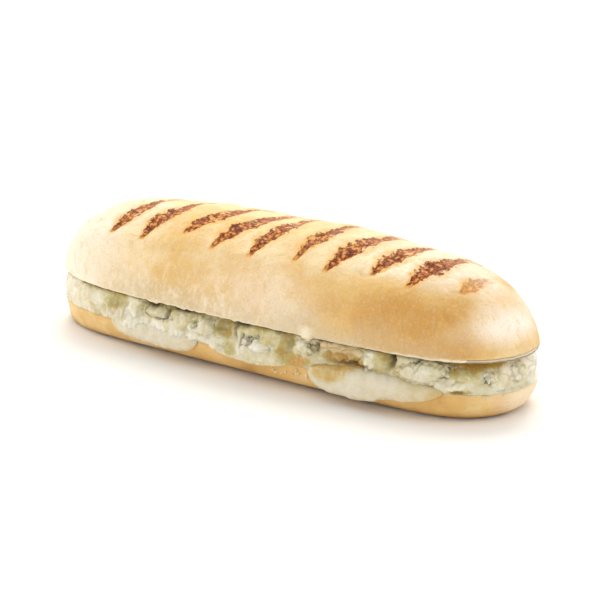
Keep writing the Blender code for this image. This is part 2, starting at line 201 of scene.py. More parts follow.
@dataclass(frozen=True)
class GrillMark:
    """One bar's mark on the crown.

    Attributes:
        x: Where it crosses the crown.
        turn: Its turn from the roll's length, in degrees.
        front: Y of its front end.
        back: Y of its back end.
        depth: How strongly it browned, 0 to 1.
    """

    x: float
    turn: float
    front: float
    back: float
    depth: float


@dataclass(frozen=True)
class Loaf:
    """Outline and section of the roll, the sizes that every piece shares, in metres."""

    half_length: float = 0.1212
    half_width: float = 0.0380
    end_reach: float = 0.048
    straightness: float = 2.6
    crown_z: float = 0.0630
    crown_fall: float = 0.120
    crown_peak_x: float = 0.010
    widest_z: float = 0.0214
    shoulder_power: float = 2.2
    ceiling_z: float = 0.0260
    ceiling_rise: float = 0.0012
    floor_z: float = 0.0130
    floor_rise: float = 0.0004
    bottom_reach: float = 0.985
    foot_z: float = 0.0108
    foot_at_sides: float = 0.42
    foot_at_left: float = 0.09
    foot_at_right: float = 0.24
    foot_power: int = 6
    rim_radius: float = 0.0013
    cut_hollow: float = 0.0005
    cut_edge: float = 0.93
    marks: tuple[GrillMark, ...] = tuple(GrillMark(*row) for row in (
        (-0.0698, 66, -0.025, 0.016, 0.8), (-0.051, 67, -0.027, 0.019, 1.0),
        (-0.0268, 61, -0.024, 0.022, 1.0), (-0.008, 63, -0.028, 0.024, 0.9),
        (0.0062, 73, -0.028, 0.022, 0.9), (0.0272, 73, -0.026, 0.025, 0.8),
        (0.0474, 68, -0.027, 0.023, 0.95), (0.0655, 72, -0.024, 0.024, 0.95),
        (0.0842, 70, -0.024, 0.021, 0.9), (0.0998, 76, -0.016, 0.012, 0.45),
    ))
    mark_half_width: float = 0.0042

    def outline(self, angle: Array, reach: Any) -> tuple[Array, Array]:
        """Plan place at an angle: a straight-sided oval drawn in towards the spine.

        Args:
            angle: Angle round the roll, 0 at the right end.
            reach: 1 on the outline, 0 on the spine.

        Returns:
            X and Y.
        """
        spine = (self.half_length - self.end_reach) * np.tanh(self.straightness * np.cos(angle))
        x = spine / math.tanh(self.straightness) + self.end_reach * reach * np.cos(angle)
        return x, self.half_width * reach * np.sin(angle)

    def even_angles(self, count: int) -> Array:
        """Angles whose points lie evenly along the outline, alike on both sides of the spine."""
        fine = np.linspace(0.0, math.pi, FINE_STEPS)
        x, y = self.outline(fine, 1.0)
        run = run_length(x, y)
        half = np.interp(np.linspace(0.0, run[-1], count // 2 + 1), run, fine)
        return np.concatenate([half, -half[-2:0:-1]])

    def angle_at(self, x: Array, side: Side) -> Array:
        """The outline's angle where it passes a place along the roll, on one side."""
        fine = np.linspace(0.0, math.pi, FINE_STEPS)
        return side.value * np.interp(x, self.outline(fine, 1.0)[0][::-1], fine[::-1])

    def ceiling(self, x: Array) -> Array:
        """Height of the upper half's cut face at its rim."""
        return self.ceiling_z + self.ceiling_rise * x / self.half_length

    def floor(self, x: Array) -> Array:
        """Height of the lower half's cut face at its rim."""
        return self.floor_z + self.floor_rise * x / self.half_length

    def foot_depth(self, angle: Array) -> Array:
        """How far the foot draws in: most along the sides, least at the left end."""
        at_end = self.foot_at_left + (self.foot_at_right - self.foot_at_left) * (0.5 + 0.5 * np.cos(angle))
        return at_end + (self.foot_at_sides - at_end) * np.sin(angle) ** self.foot_power

    def bottom_section(self, rows: int) -> tuple[Array, Array, Array]:
        """Section of the lower half round its foot, up the wall and over the rim, evenly spaced.

        A point's reach is its scale times the wall's reach less its share of the foot's depth.

        Args:
            rows: Number of points.

        Returns:
            Scale, share of the foot's drawing in, and height.
        """
        turn = np.linspace(math.pi / 2, 0.0, 200)
        rim = np.linspace(math.pi / 2, 0.0, 60)
        wall = self.half_width * self.bottom_reach
        scale = np.concatenate([np.ones(200), 1.0 - self.rim_radius * (1.0 - np.sin(rim)) / wall])
        draw = np.concatenate([1.0 - np.cos(turn), 0 * rim])
        foot, over = self.foot_z * (1.0 - np.sin(turn)), self.floor_z - self.rim_radius * (1.0 - np.cos(rim))
        height = np.concatenate([foot, over])
        out = scale * self.half_width * (self.bottom_reach - self.foot_at_sides * draw)
        run = run_length(out, height)
        at = np.linspace(0.0, run[-1], rows)
        return np.interp(at, run, scale), np.interp(at, run, draw), np.interp(at, run, height)

    def over_rim(self, distance: Array, lift: Array, angle: Array) -> tuple[Array, Array]:
        """Places along the lower half's cut face, rim and wall, lifted off them.

        The section becomes a line measured from the rim, and the lift goes along its smoothed
        normal.

        Args:
            distance: Distance from the rim along the line, negative inside.
            lift: Distance off it.
            angle: Angle round the roll.

        Returns:
            Reach and height.
        """
        scale, draw, height = self.bottom_section(400)
        scale = np.concatenate([[0.0, self.cut_edge], scale[::-1]])
        draw = np.concatenate([[0.0, 0.0], draw[::-1]])
        height = np.concatenate([[self.floor_z - self.cut_hollow] * 2, height[::-1]])
        out = scale * self.half_width * (self.bottom_reach - self.foot_at_sides * draw)
        run = run_length(out, height)
        at = np.linspace(0.0, run[-1], 1200)
        out, scale, draw, height = (np.interp(at, run, part) for part in (out, scale, draw, height))
        window = 21
        padded = (np.pad(np.gradient(part, at), window // 2, "edge") for part in (out, height))
        outward, upward = (np.convolve(part, np.ones(window) / window, "valid") for part in padded)
        at = at - at[np.argmin(np.abs(height - (self.floor_z - self.rim_radius / 2)))]
        wall = self.bottom_reach - self.foot_depth(angle) * np.interp(distance, at, draw)
        reach = np.interp(distance, at, scale) * wall
        reach = reach - lift * np.interp(distance, at, upward) / self.half_width
        return reach, np.interp(distance, at, height) + lift * np.interp(distance, at, outward)

    def outward(self, points: Array, core_z: float) -> Array:
        """Unit vectors away from a straight core inside the roll at that height."""
        half = self.half_length - self.end_reach
        core_x = np.clip(points[..., 0], -half, half)
        parts = [points[..., 0] - core_x, points[..., 1], points[..., 2] - core_z]
        return unit(np.stack(parts, axis=-1))

    def swell(self, points: Array, seed: int) -> Array:
        """The hand-shaped unevenness of the crust, in metres, as the solids have it."""
        return 0.0008 * soft_noise(points, 0.055, seed) + 0.00035 * soft_noise(points, 0.016, seed + 1)

    def mark_fields(self, points: Array) -> tuple[Array, Array, Array]:
        """Where each point lies in the nearest grill mark, which is pointed in front and fades behind.

        Args:
            points: Places on the crown.

        Returns:
            Distance from the mark's middle in half widths, share along it from its front end, and
            its strength, which fades at both ends.
        """
        width = np.full(points.shape[:-1], 3.0)
        along = np.zeros(points.shape[:-1])
        strength = np.zeros(points.shape[:-1])
        for mark in self.marks:
            turn = math.radians(mark.turn)
            off = (points[..., 0] - mark.x) * math.sin(turn) - points[..., 1] * math.cos(turn)
            share = (points[..., 1] - mark.front) / (mark.back - mark.front)
            breadth = self.mark_half_width * (0.3 + 0.7 * mark.depth)
            breadth = breadth * (0.26 + 0.82 * smoothstep(share, 0.0, 0.26))
            tail = 0.50 * smoothstep(share, 0.36, 0.60) + 0.25 * smoothstep(share, 0.86, 1.0)
            distance = np.abs(off) / (breadth * (1.0 - tail))
            closer = distance < width
            width = np.where(closer, distance, width)
            along = np.where(closer, share, along)
            ends = smoothstep(share, -0.02, 0.07) * (0.42 + 0.58 * smoothstep(share, 0.76, 0.52))
            ends = ends * smoothstep(share, 1.02, 0.90)
            strength = np.where(closer, mark.depth * ends, strength)
        return width, np.clip(along, 0.0, 1.0), strength


LOAF = Loaf()


def even_rows(out: Array, up: Array, count: int) -> tuple[Array, Array]:
    """A line's points, spaced evenly along it.

    Args:
        out: Distances from the spine.
        up: Heights.
        count: Number of points wanted.

    Returns:
        The new distances and heights.
    """
    run = run_length(out, up)
    at = np.linspace(0.0, run[-1], count)
    return np.interp(at, run, out), np.interp(at, run, up)


def grid_triangles(grid: Array, cap: EndCap) -> tuple[Array, Array]:
    """The skin of a grid whose columns run round and whose end rows close on themselves.

    Each pair of rows and columns makes two triangles. On a spine the end row's points meet their
    mirror points, and at a point they all meet. The faces are turned outwards by the sign of the
    volume, the sum of each triangle's corners' triple product.

    Args:
        grid: Points, as (rows, columns, 3).
        cap: How the end rows close.

    Returns:
        Which of the grid's points are used, and the triangles between them.
    """
    rows, columns = grid.shape[:2]
    index = np.arange(rows * columns).reshape(rows, columns)
    column = np.arange(columns)
    for row in (0, rows - 1):
        partner = np.minimum(column, (columns - column) % columns)
        index[row] = row * columns + (partner if cap is EndCap.SPINE else 0)
    used, place = np.unique(index.reshape(-1), return_inverse=True)
    place = place.reshape(rows, columns)
    after = np.roll(place, -1, axis=1)
    first = np.stack([place[:-1], after[:-1], after[1:]], axis=-1).reshape(-1, 3)
    second = np.stack([place[:-1], after[1:], place[1:]], axis=-1).reshape(-1, 3)
    faces = np.concatenate([first, second])
    whole = (faces[:, 0] != faces[:, 1]) & (faces[:, 1] != faces[:, 2]) & (faces[:, 0] != faces[:, 2])
    faces = faces[whole]
    if np.linalg.det(grid.reshape(-1, 3)[used][faces]).sum() < 0.0:
        faces = faces[:, ::-1]
    return used, faces


def grid_mesh(name: str, grid: Array, cap: EndCap, fields: dict[str, Array]) -> Piece:
    """A closed piece from a grid of points.

    Args:
        name: The piece's name.
        grid: Points, as (rows, columns, 3).
        cap: How the end rows close.
        fields: Values for the material to read, each as (rows, columns).

    Returns:
        The new object, linked to the scene.
    """
    used, faces = grid_triangles(grid, cap)
    kept = {label: np.broadcast_to(values, grid.shape[:2]).reshape(-1)[used]
            for label, values in fields.items()}
    return triangle_mesh(name, grid.reshape(-1, 3)[used], faces, kept)


def place_object(name: str, data: bpy.types.ID) -> Piece:
    """A new object with that data, linked to the scene."""
    made = bpy.data.objects.new(name, data)
    bpy.context.scene.collection.objects.link(made)
    return made


def triangle_mesh(name: str, points: Array, faces: Array, fields: dict[str, Array]) -> Piece:
    """A smooth-shaded piece from points, triangles and values at the points.

    Args:
        name: The piece's name.
        points: Places, as (n, 3).
        faces: Corner indices, as (m, 3).
        fields: Values for the material to read, each of length n.

    Returns:
        The new object, linked to the scene.
    """
    mesh = bpy.data.meshes.new(name)
    mesh.vertices.add(len(points))
    mesh.vertices.foreach_set("co", points.astype(np.float32).reshape(-1))
    mesh.loops.add(faces.size)
    mesh.loops.foreach_set("vertex_index", faces.astype(np.int32).reshape(-1))
    mesh.polygons.add(len(faces))
    mesh.polygons.foreach_set("loop_start", np.arange(0, faces.size, 3, dtype=np.int32))
    mesh.polygons.foreach_set("use_smooth", np.ones(len(faces), dtype=bool))
    for label, values in fields.items():
        layer = mesh.attributes.new(label, "FLOAT", "POINT")
        layer.data.foreach_set("value", values.astype(np.float32))
    mesh.update(calc_edges=True)
    mesh.validate()
    return place_object(name, mesh)


def show(piece: Piece, finish: Material, slot: str, *nodes: str) -> None:
    """Dresses a piece, rides it on the panini and hides the CAD nodes that it replaces.

    Args:
        piece: The piece.
        finish: Its material.
        slot: The record's material slot, which is not used.
        nodes: CAD nodes that it replaces.
    """
    piece.data.materials.append(finish)
    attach(piece, "root")
    if nodes:
        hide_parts(*nodes)
    LOG.info("%s: %d triangles", piece.name, len(piece.data.polygons))


class GridPiece:
    """A piece whose surface is one closed grid."""

    slot: ClassVar[str]
    cap: ClassVar[EndCap] = EndCap.SPINE

    def surface(self) -> Surface:
        """Points and painted values, which each kind of piece works out in its own way."""
        raise NotImplementedError

    def build(self, name: str, node: str, finish: Material) -> Piece:
        """Makes the piece.

        Args:
            name: Its name.
            node: The CAD node that it stands for.
            finish: Its material.

        Returns:
            The new object.
        """
        grid, fields = self.surface()
        piece = grid_mesh(name, grid, self.cap, fields)
        show(piece, finish, self.slot, node)
        return piece


def linear(hex_colour: str) -> tuple[float, float, float, float]:
    """An sRGB hex colour as linear red, green, blue and alpha."""
    channels = [int(hex_colour[i : i + 2], 16) / 255.0 for i in (1, 3, 5)]
    parts = [c / 12.92 if c <= 0.04045 else ((c + 0.055) / 1.055) ** 2.4 for c in channels]
    return (parts[0], parts[1], parts[2], 1.0)


def add_node(tree: bpy.types.NodeTree, kind: str, inputs: dict[Any, Any] | None = None,
             stops: Sequence[tuple[float, Any]] = (), **settings: Any) -> bpy.types.Node:
    """Adds a node with its settings and links.

    Args:
        tree: The material's node tree.
        kind: The node's type.
        inputs: For each input, by name or index, a value or the output that feeds it.
        stops: A colour ramp's positions and colours.
        settings: The node's own properties.

    Returns:
        The new node.
    """
    made = tree.nodes.new(kind)
    for label, value in settings.items():
        setattr(made, label, value)
    for socket, value in (inputs or {}).items():
        if isinstance(value, Socket):
            tree.links.new(value, made.inputs[socket])
        else:
            made.inputs[socket].default_value = value
    if stops:
        ramp = made.color_ramp
        while len(ramp.elements) < len(stops):
            ramp.elements.new(1.0)
        for element, (position, colour) in zip(ramp.elements, stops):
            element.position = position
            element.color = colour
    return made


class Painter:
    """A material under construction: its tree, its object coordinates and short mixing steps."""

    def __init__(self, name: str) -> None:
        """Starts an empty material of that name."""
        self.material = bpy.data.materials.new(name)
        self.material.use_nodes = True
        self.tree = self.material.node_tree
        self.tree.nodes.clear()
        self.place = add_node(self.tree, "ShaderNodeTexCoord").outputs["Object"]

    def field(self, label: str) -> Socket:
        """A value that the piece's mesh carries."""
        return add_node(self.tree, "ShaderNodeAttribute", attribute_name=label).outputs["Fac"]

    def stretched(self, scale: tuple[float, float, float]) -> Socket:
        """Object coordinates drawn out by a factor along each axis."""
        return add_node(self.tree, "ShaderNodeVectorMath", {0: self.place, 1: scale},
                        operation="MULTIPLY").outputs[0]

    def noise(self, grain_mm: float, detail: float = 2.0, place: Any = None,
              roughness: float = 0.5) -> Socket:
        """Cloudy noise with blobs of that size, 0 to 1."""
        return add_node(self.tree, "ShaderNodeTexNoise",
                        {"Vector": place or self.place, "Scale": 1.0 / (grain_mm * MM),
                         "Detail": detail, "Roughness": roughness}).outputs[0]

    def cells(self, grain_mm: float) -> Socket:
        """Distance field of scattered points, one for each cell of that size."""
        return add_node(self.tree, "ShaderNodeTexVoronoi",
                        {"Vector": self.place, "Scale": 1.0 / (grain_mm * MM)}).outputs["Distance"]

    def step(self, value: Any, low: float, high: float, bottom: float = 0.0, top: float = 1.0) -> Socket:
        """A smooth rise from bottom to top as value goes from low to high."""
        return add_node(self.tree, "ShaderNodeMapRange", {0: value, 1: low, 2: high, 3: bottom, 4: top},
                        interpolation_type="SMOOTHSTEP").outputs[0]

    def drift(self, grain_mm: float, detail: float, swing: float, low: float = 0.3) -> Socket:
        """Noise between low and 1 - low, spread to -swing and swing."""
        return self.step(self.noise(grain_mm, detail), low, 1.0 - low, -swing, swing)

    def math(self, operation: str, first: Any, second: Any = 0.0) -> Socket:
        """One arithmetic step."""
        return add_node(self.tree, "ShaderNodeMath", {0: first, 1: second}, operation=operation).outputs[0]

    def mix(self, share: Any, first: Any, second: Any) -> Socket:
        """Two colours, or hex colours, mixed by a share."""
        first, second = (linear(part) if isinstance(part, str) else part for part in (first, second))
        inputs = {0: share, 6: first, 7: second}
        return add_node(self.tree, "ShaderNodeMix", inputs, data_type="RGBA").outputs[2]

    def over(self, below: Any, colour: str, value: Any, low: float, high: float, most: float = 1.0) -> Socket:
        """A colour laid over those below, from nought to the most as value goes from low to high."""
        return self.mix(self.step(value, low, high, 0.0, most), below, colour)

    def relief(self, *layers: tuple[Any, float]) -> Socket:
        """Layers of relief, each a height and its depth in millimetres, one over another."""
        below: dict[str, Any] = {}
        for height, depth_mm in layers:
            inputs = {"Height": height, "Strength": 1.0, "Distance": depth_mm * MM, **below}
            below = {"Normal": add_node(self.tree, "ShaderNodeBump", inputs).outputs[0]}
        return below["Normal"]

    def finish(self, colour: Any, roughness: Any, normal: Any, **extra: Any) -> Material:
        """Closes the material with a Principled surface.

        Args:
            colour: Base colour.
            roughness: Roughness.
            normal: Normal, with its relief.
            extra: More of the surface's inputs, with underscores for spaces.

        Returns:
            The material.
        """
        inputs = {"Base Color": colour, "Roughness": roughness, "Normal": normal}
        inputs.update({label.replace("_", " "): value for label, value in extra.items()})
        surface = add_node(self.tree, "ShaderNodeBsdfPrincipled", inputs)
        add_node(self.tree, "ShaderNodeOutputMaterial", {"Surface": surface.outputs[0]})
        return self.material


@dataclass(frozen=True)
class BakedCrust:
    """Soft wheat crust, pale and floury, browned by the bars of a contact grill.

    The eye sees dull cream to straw skin with dry streaks and fine pores, and mottled red-brown
    bars with an orange scorched rim. Painted shade darkens the wall low down; the pale ends and
    crown top are partly bare crust and partly painted light; the far part of each bar fades to a
    mauve that is partly a painted sheen.
    """

    name: str = "baked_wheat_crust"
    flour: str = "#F1E0C6"
    pale: str = "#EBD2A2"
    golden: str = "#DEB670"
    tan: str = "#CD9A4E"
    bare_and_painted_light: str = "#FAEEDE"
    # Painted shade of the low wall near the slit
    painted_wall_shade: str = "#D0BD98"
    crumb: str = "#F0E2C4"
    halo: str = "#E8AE58"
    ember: str = "#D8954C"
    scorched: str = "#9C5220"
    dark: str = "#64290C"
    # Mauve of the marks' far parts, partly fading browning and partly painted sheen
    mauve_fade_and_sheen: str = "#BE8468"

    def build(self) -> Material:
        """Makes the material.

        Returns:
            The material.
        """
        paint = Painter(self.name)
        warmth = paint.math("ADD", paint.field("toast"), paint.drift(22.0, 3.0, 0.20))
        skin = paint.mix(paint.step(warmth, 0.15, 0.62), self.pale, self.golden)
        skin = paint.over(skin, self.tan, warmth, 0.68, 1.15)
        # Painted shade: the wall turns greyer and darker low down, towards the slit
        skin = paint.mix(paint.field("painted_wall_shade"), skin, self.painted_wall_shade)
        patches = paint.noise(3.6, 5.0, paint.stretched((1.0, 1.0, 0.75)), 0.7)
        floury = paint.math("MULTIPLY", paint.field("flour"), paint.step(patches, 0.40, 0.80))
        skin = paint.mix(floury, skin, self.flour)
        # Pale bare crust and painted light: whitens the ends and the crown top
        skin = paint.mix(paint.field("bare_and_painted_light"), skin, self.bare_and_painted_light)
        blotches = paint.noise(3.4, 5.0, paint.stretched((1.0, 1.0, 0.6)), 0.75)
        skin = paint.over(skin, self.golden, blotches, 0.52, 0.70, 0.55)
        skin = paint.over(skin, self.flour, blotches, 0.50, 0.22, 0.26)
        freckles = paint.noise(0.8, 3.0, paint.stretched((1.0, 1.0, 0.7)), 0.7)
        skin = paint.over(skin, self.tan, freckles, 0.54, 0.74, 0.50)
        skin = paint.over(skin, self.flour, freckles, 0.46, 0.28, 0.30)
        skin = paint.mix(paint.field("crumb"), skin, self.crumb)
        skin = self._grill(paint, skin)
        relief = paint.relief((paint.noise(0.7, 4.0), 0.24), (paint.noise(1.6, 4.0, None, 0.7), 0.34),
                              (paint.step(paint.cells(2.4), 0.0, 0.35), 0.16), (paint.noise(3.6, 4.0), 0.65))
        dull = paint.step(paint.noise(6.0), 0.3, 0.7, 0.60, 0.76)
        return paint.finish(skin, dull, relief, Specular_IOR_Level=0.32, IOR=1.45,
                            Subsurface_Weight=0.08, Subsurface_Radius=(0.9, 0.5, 0.25),
                            Subsurface_Scale=0.0016)

    def _grill(self, paint: Painter, skin: Any) -> Any:
        """Browns the skin where the bars pressed: orange blisters with dark seams and outlines.

        Args:
            paint: The material under construction.
            skin: The skin's colour.

        Returns:
            The skin with its grill marks.
        """
        strength = paint.field("mark_strength")
        along = paint.field("mark_along")
        ragged = paint.step(paint.noise(2.8, 4.0, None, 0.65), 0.2, 0.8, -0.6, 0.6)
        edge = paint.math("ADD", paint.field("mark_width"), ragged)
        body = paint.math("MULTIPLY", paint.step(edge, 1.06, 0.86), paint.step(strength, 0.05, 0.45))
        glow = paint.math("MULTIPLY", paint.step(edge, 2.3, 0.7), paint.step(strength, 0.0, 0.5))
        glow = paint.math("MULTIPLY", glow, paint.step(along, 0.75, 0.0, 0.22, 0.95))
        skin = paint.mix(glow, skin, self.halo)
        blister = paint.math("ADD", paint.cells(2.1), paint.drift(1.0, 3.0, 0.26))
        burnt = paint.mix(paint.step(blister, 0.24, 0.46), self.ember, self.scorched)
        burnt = paint.over(burnt, self.dark, blister, 0.54, 0.80)
        burnt = paint.over(burnt, self.dark, edge, 0.55, 0.90, 0.70)
        # The far part of each mark turns mauve: partly weaker browning, partly a painted sheen of the back
        # light
        burnt = paint.over(burnt, self.mauve_fade_and_sheen, along, 0.30, 0.60, 0.50)
        gaps = paint.step(paint.noise(4.2, 3.0), 0.33, 0.43, 0.25, 1.0)
        share = paint.math("MULTIPLY", paint.math("MULTIPLY", body, gaps), paint.step(strength, 0.0, 0.9))
        return paint.mix(share, skin, burnt)


@dataclass(frozen=True)
class ToastedBase:
    """The lower half's crust: golden, with a thin brown line where it met the grill plate.

    The eye sees a dull straw to golden wall, darker and redder towards the foot, and a flat
    underside with broad faint bars.
    """

    name: str = "toasted_base_crust"
    bare_and_painted_light: str = "#EEDCC2"
    pale: str = "#EAD29C"
    golden: str = "#DAB06C"
    brown: str = "#A6783A"
    dark: str = "#5E3A1C"
    crumb: str = "#E6D2A6"
    bar_pitch_mm: float = 18.0
    bar_turn: float = 66.0

    def build(self) -> Material:
        """Makes the material.

        Returns:
            The material.
        """
        paint = Painter(self.name)
        height = add_node(paint.tree, "ShaderNodeSeparateXYZ", {0: paint.place}).outputs["Z"]
        warmth = paint.math("ADD", paint.field("toast"), paint.drift(18.0, 3.0, 0.3))
        skin = paint.mix(paint.step(warmth, 0.1, 0.8), self.pale, self.golden)
        skin = paint.over(skin, self.brown, warmth, 0.75, 1.3, 0.6)
        streaks = paint.noise(3.0, 4.0, paint.stretched((0.5, 0.5, 1.6)), 0.7)
        skin = paint.over(skin, self.pale, streaks, 0.50, 0.25, 0.35)
        level = paint.math("ADD", height, paint.drift(5.0, 2.0, 0.0007, 0.2))
        # Pale ends of the lower half, partly bare crust and partly painted light
        skin = paint.mix(paint.field("bare_and_painted_light"), skin, self.bare_and_painted_light)
        skin = paint.over(skin, self.brown, level, 0.0040, 0.0008, 0.5)
        skin = paint.over(skin, self.dark, level, 0.0012, 0.0004, 0.8)
        under = paint.step(height, 0.0006, 0.0002)
        turn = math.radians(self.bar_turn)
        slant = add_node(paint.tree, "ShaderNodeVectorMath",
                         {0: paint.place, 1: (math.sin(turn), -math.cos(turn), 0.0)},
                         operation="DOT_PRODUCT").outputs["Value"]
        bars = paint.math("SINE", paint.math("MULTIPLY", slant, 2.0 * math.pi / (self.bar_pitch_mm * MM)))
        bars = paint.math("ADD", bars, paint.drift(4.0, 3.0, 0.5, 0.2))
        sole = paint.over(self.golden, self.brown, paint.noise(9.0, 3.0), 0.35, 0.7)
        sole = paint.over(sole, self.dark, bars, 0.25, 0.75, 0.8)
        skin = paint.mix(under, skin, sole)
        skin = paint.mix(paint.field("crumb"), skin, self.crumb)
        skin = paint.over(skin, self.brown, paint.noise(1.1), 0.58, 0.8, 0.35)
        relief = paint.relief((paint.noise(0.7, 3.0), 0.16), (paint.noise(4.0, 3.0), 0.4))
        return paint.finish(skin, 0.72, relief, Specular_IOR_Level=0.3, IOR=1.45)


@dataclass(frozen=True)
class Cheese:
    """A cheese that the grill softened: moist, milky, with colours that run into each other.

    The eye sees a soft shine, light that goes a little way in, browned or olive depths, and the
    grey-green veins and painted shade that the piece's fields put there.
    """

    name: str
    milky: str
    straw: str
    olive: str
    gold: str
    vein: str = "#8A8468"
    pit: str = "#4A4434"
    shadow: str = "#4A3014"
    warm: str = "#D7A871"
    stops: tuple[float, ...] = (0.0, 0.36, 0.72, 1.0)
    wet: tuple[float, float] = (0.20, 0.42)
    depth: float = 0.35
    scatter_mm: float = 2.2
    crumble_mm: float = 0.12

    def build(self) -> Material:
        """Makes the material.

        Returns:
            The material.
        """
        paint = Painter(self.name)
        tone = paint.math("ADD", paint.field("tone"), paint.drift(5.5, 3.0, 0.13))
        colours = (linear(colour) for colour in (self.milky, self.straw, self.olive, self.gold))
        ramp = add_node(paint.tree, "ShaderNodeValToRGB", {0: tone}, stops=tuple(zip(self.stops, colours)))
        colour = paint.over(ramp.outputs[0], self.milky, paint.noise(1.5, 3.0), 0.56, 0.74, 0.45)
        colour = paint.mix(paint.field("warm"), colour, self.warm)
        stain = paint.math("ADD", paint.field("vein"), paint.drift(1.1, 3.0, 0.24))
        colour = paint.over(colour, self.vein, stain, 0.20, 1.0, 0.8)
        colour = paint.over(colour, self.pit, stain, 0.95, 1.25, 0.9)
        colour = paint.mix(paint.field("dark"), colour, self.shadow)
        fine, coarse = paint.noise(0.9, 3.0), paint.noise(3.0)
        relief = paint.relief((fine, self.crumble_mm), (coarse, 3.0 * self.crumble_mm))
        shine = paint.step(paint.noise(2.6), 0.35, 0.65, *self.wet)
        return paint.finish(colour, shine, relief, Specular_IOR_Level=0.5, IOR=1.44,
                            Subsurface_Weight=self.depth, Subsurface_Radius=(1.0, 0.8, 0.5),
                            Subsurface_Scale=self.scatter_mm * MM)


# Several cheeses run together: straw and olive, gold where it is thin over the bread; gold also stands for
# painted shade under the rim
MELTED_BLEND = Cheese("melted_cheese_blend", "#E6E1CE", "#D3C9A2", "#B5A563", "#B98F3E")
# Fresh mozzarella slumped to a smooth wet skin that lets the crust's warmth through where it is thin
SOFT_MOZZARELLA = Cheese("softened_mozzarella", "#DAD2BE", "#D2C6A2", "#C6AC6E", "#B88C3C", wet=(0.20, 0.32),
                         depth=0.5, scatter_mm=3.0, crumble_mm=0.06)
# Blue-veined cheese at the point of melting: chalky and crumbled, with mould in its cracks
BLUE_CHEESE = Cheese("veined_blue_cheese", "#E4E0D2", "#D4CCAC", "#B8AC76", "#B18C48", wet=(0.24, 0.46),
                     depth=0.25, scatter_mm=1.8, crumble_mm=0.22)


@dataclass(frozen=True)
class StudioPaper:
    """Matt white background paper, which the eye reads as empty space."""

    name: str = "white_studio_paper"
    white: str = "#FBFAF8"
    shade: str = "#F6F5F3"

    def build(self) -> Material:
        """Makes the material.

        Returns:
            The material.
        """
        paint = Painter(self.name)
        colour = paint.mix(paint.noise(60.0), self.white, self.shade)
        return paint.finish(colour, 0.9, paint.relief((paint.noise(1.0), 0.02)))


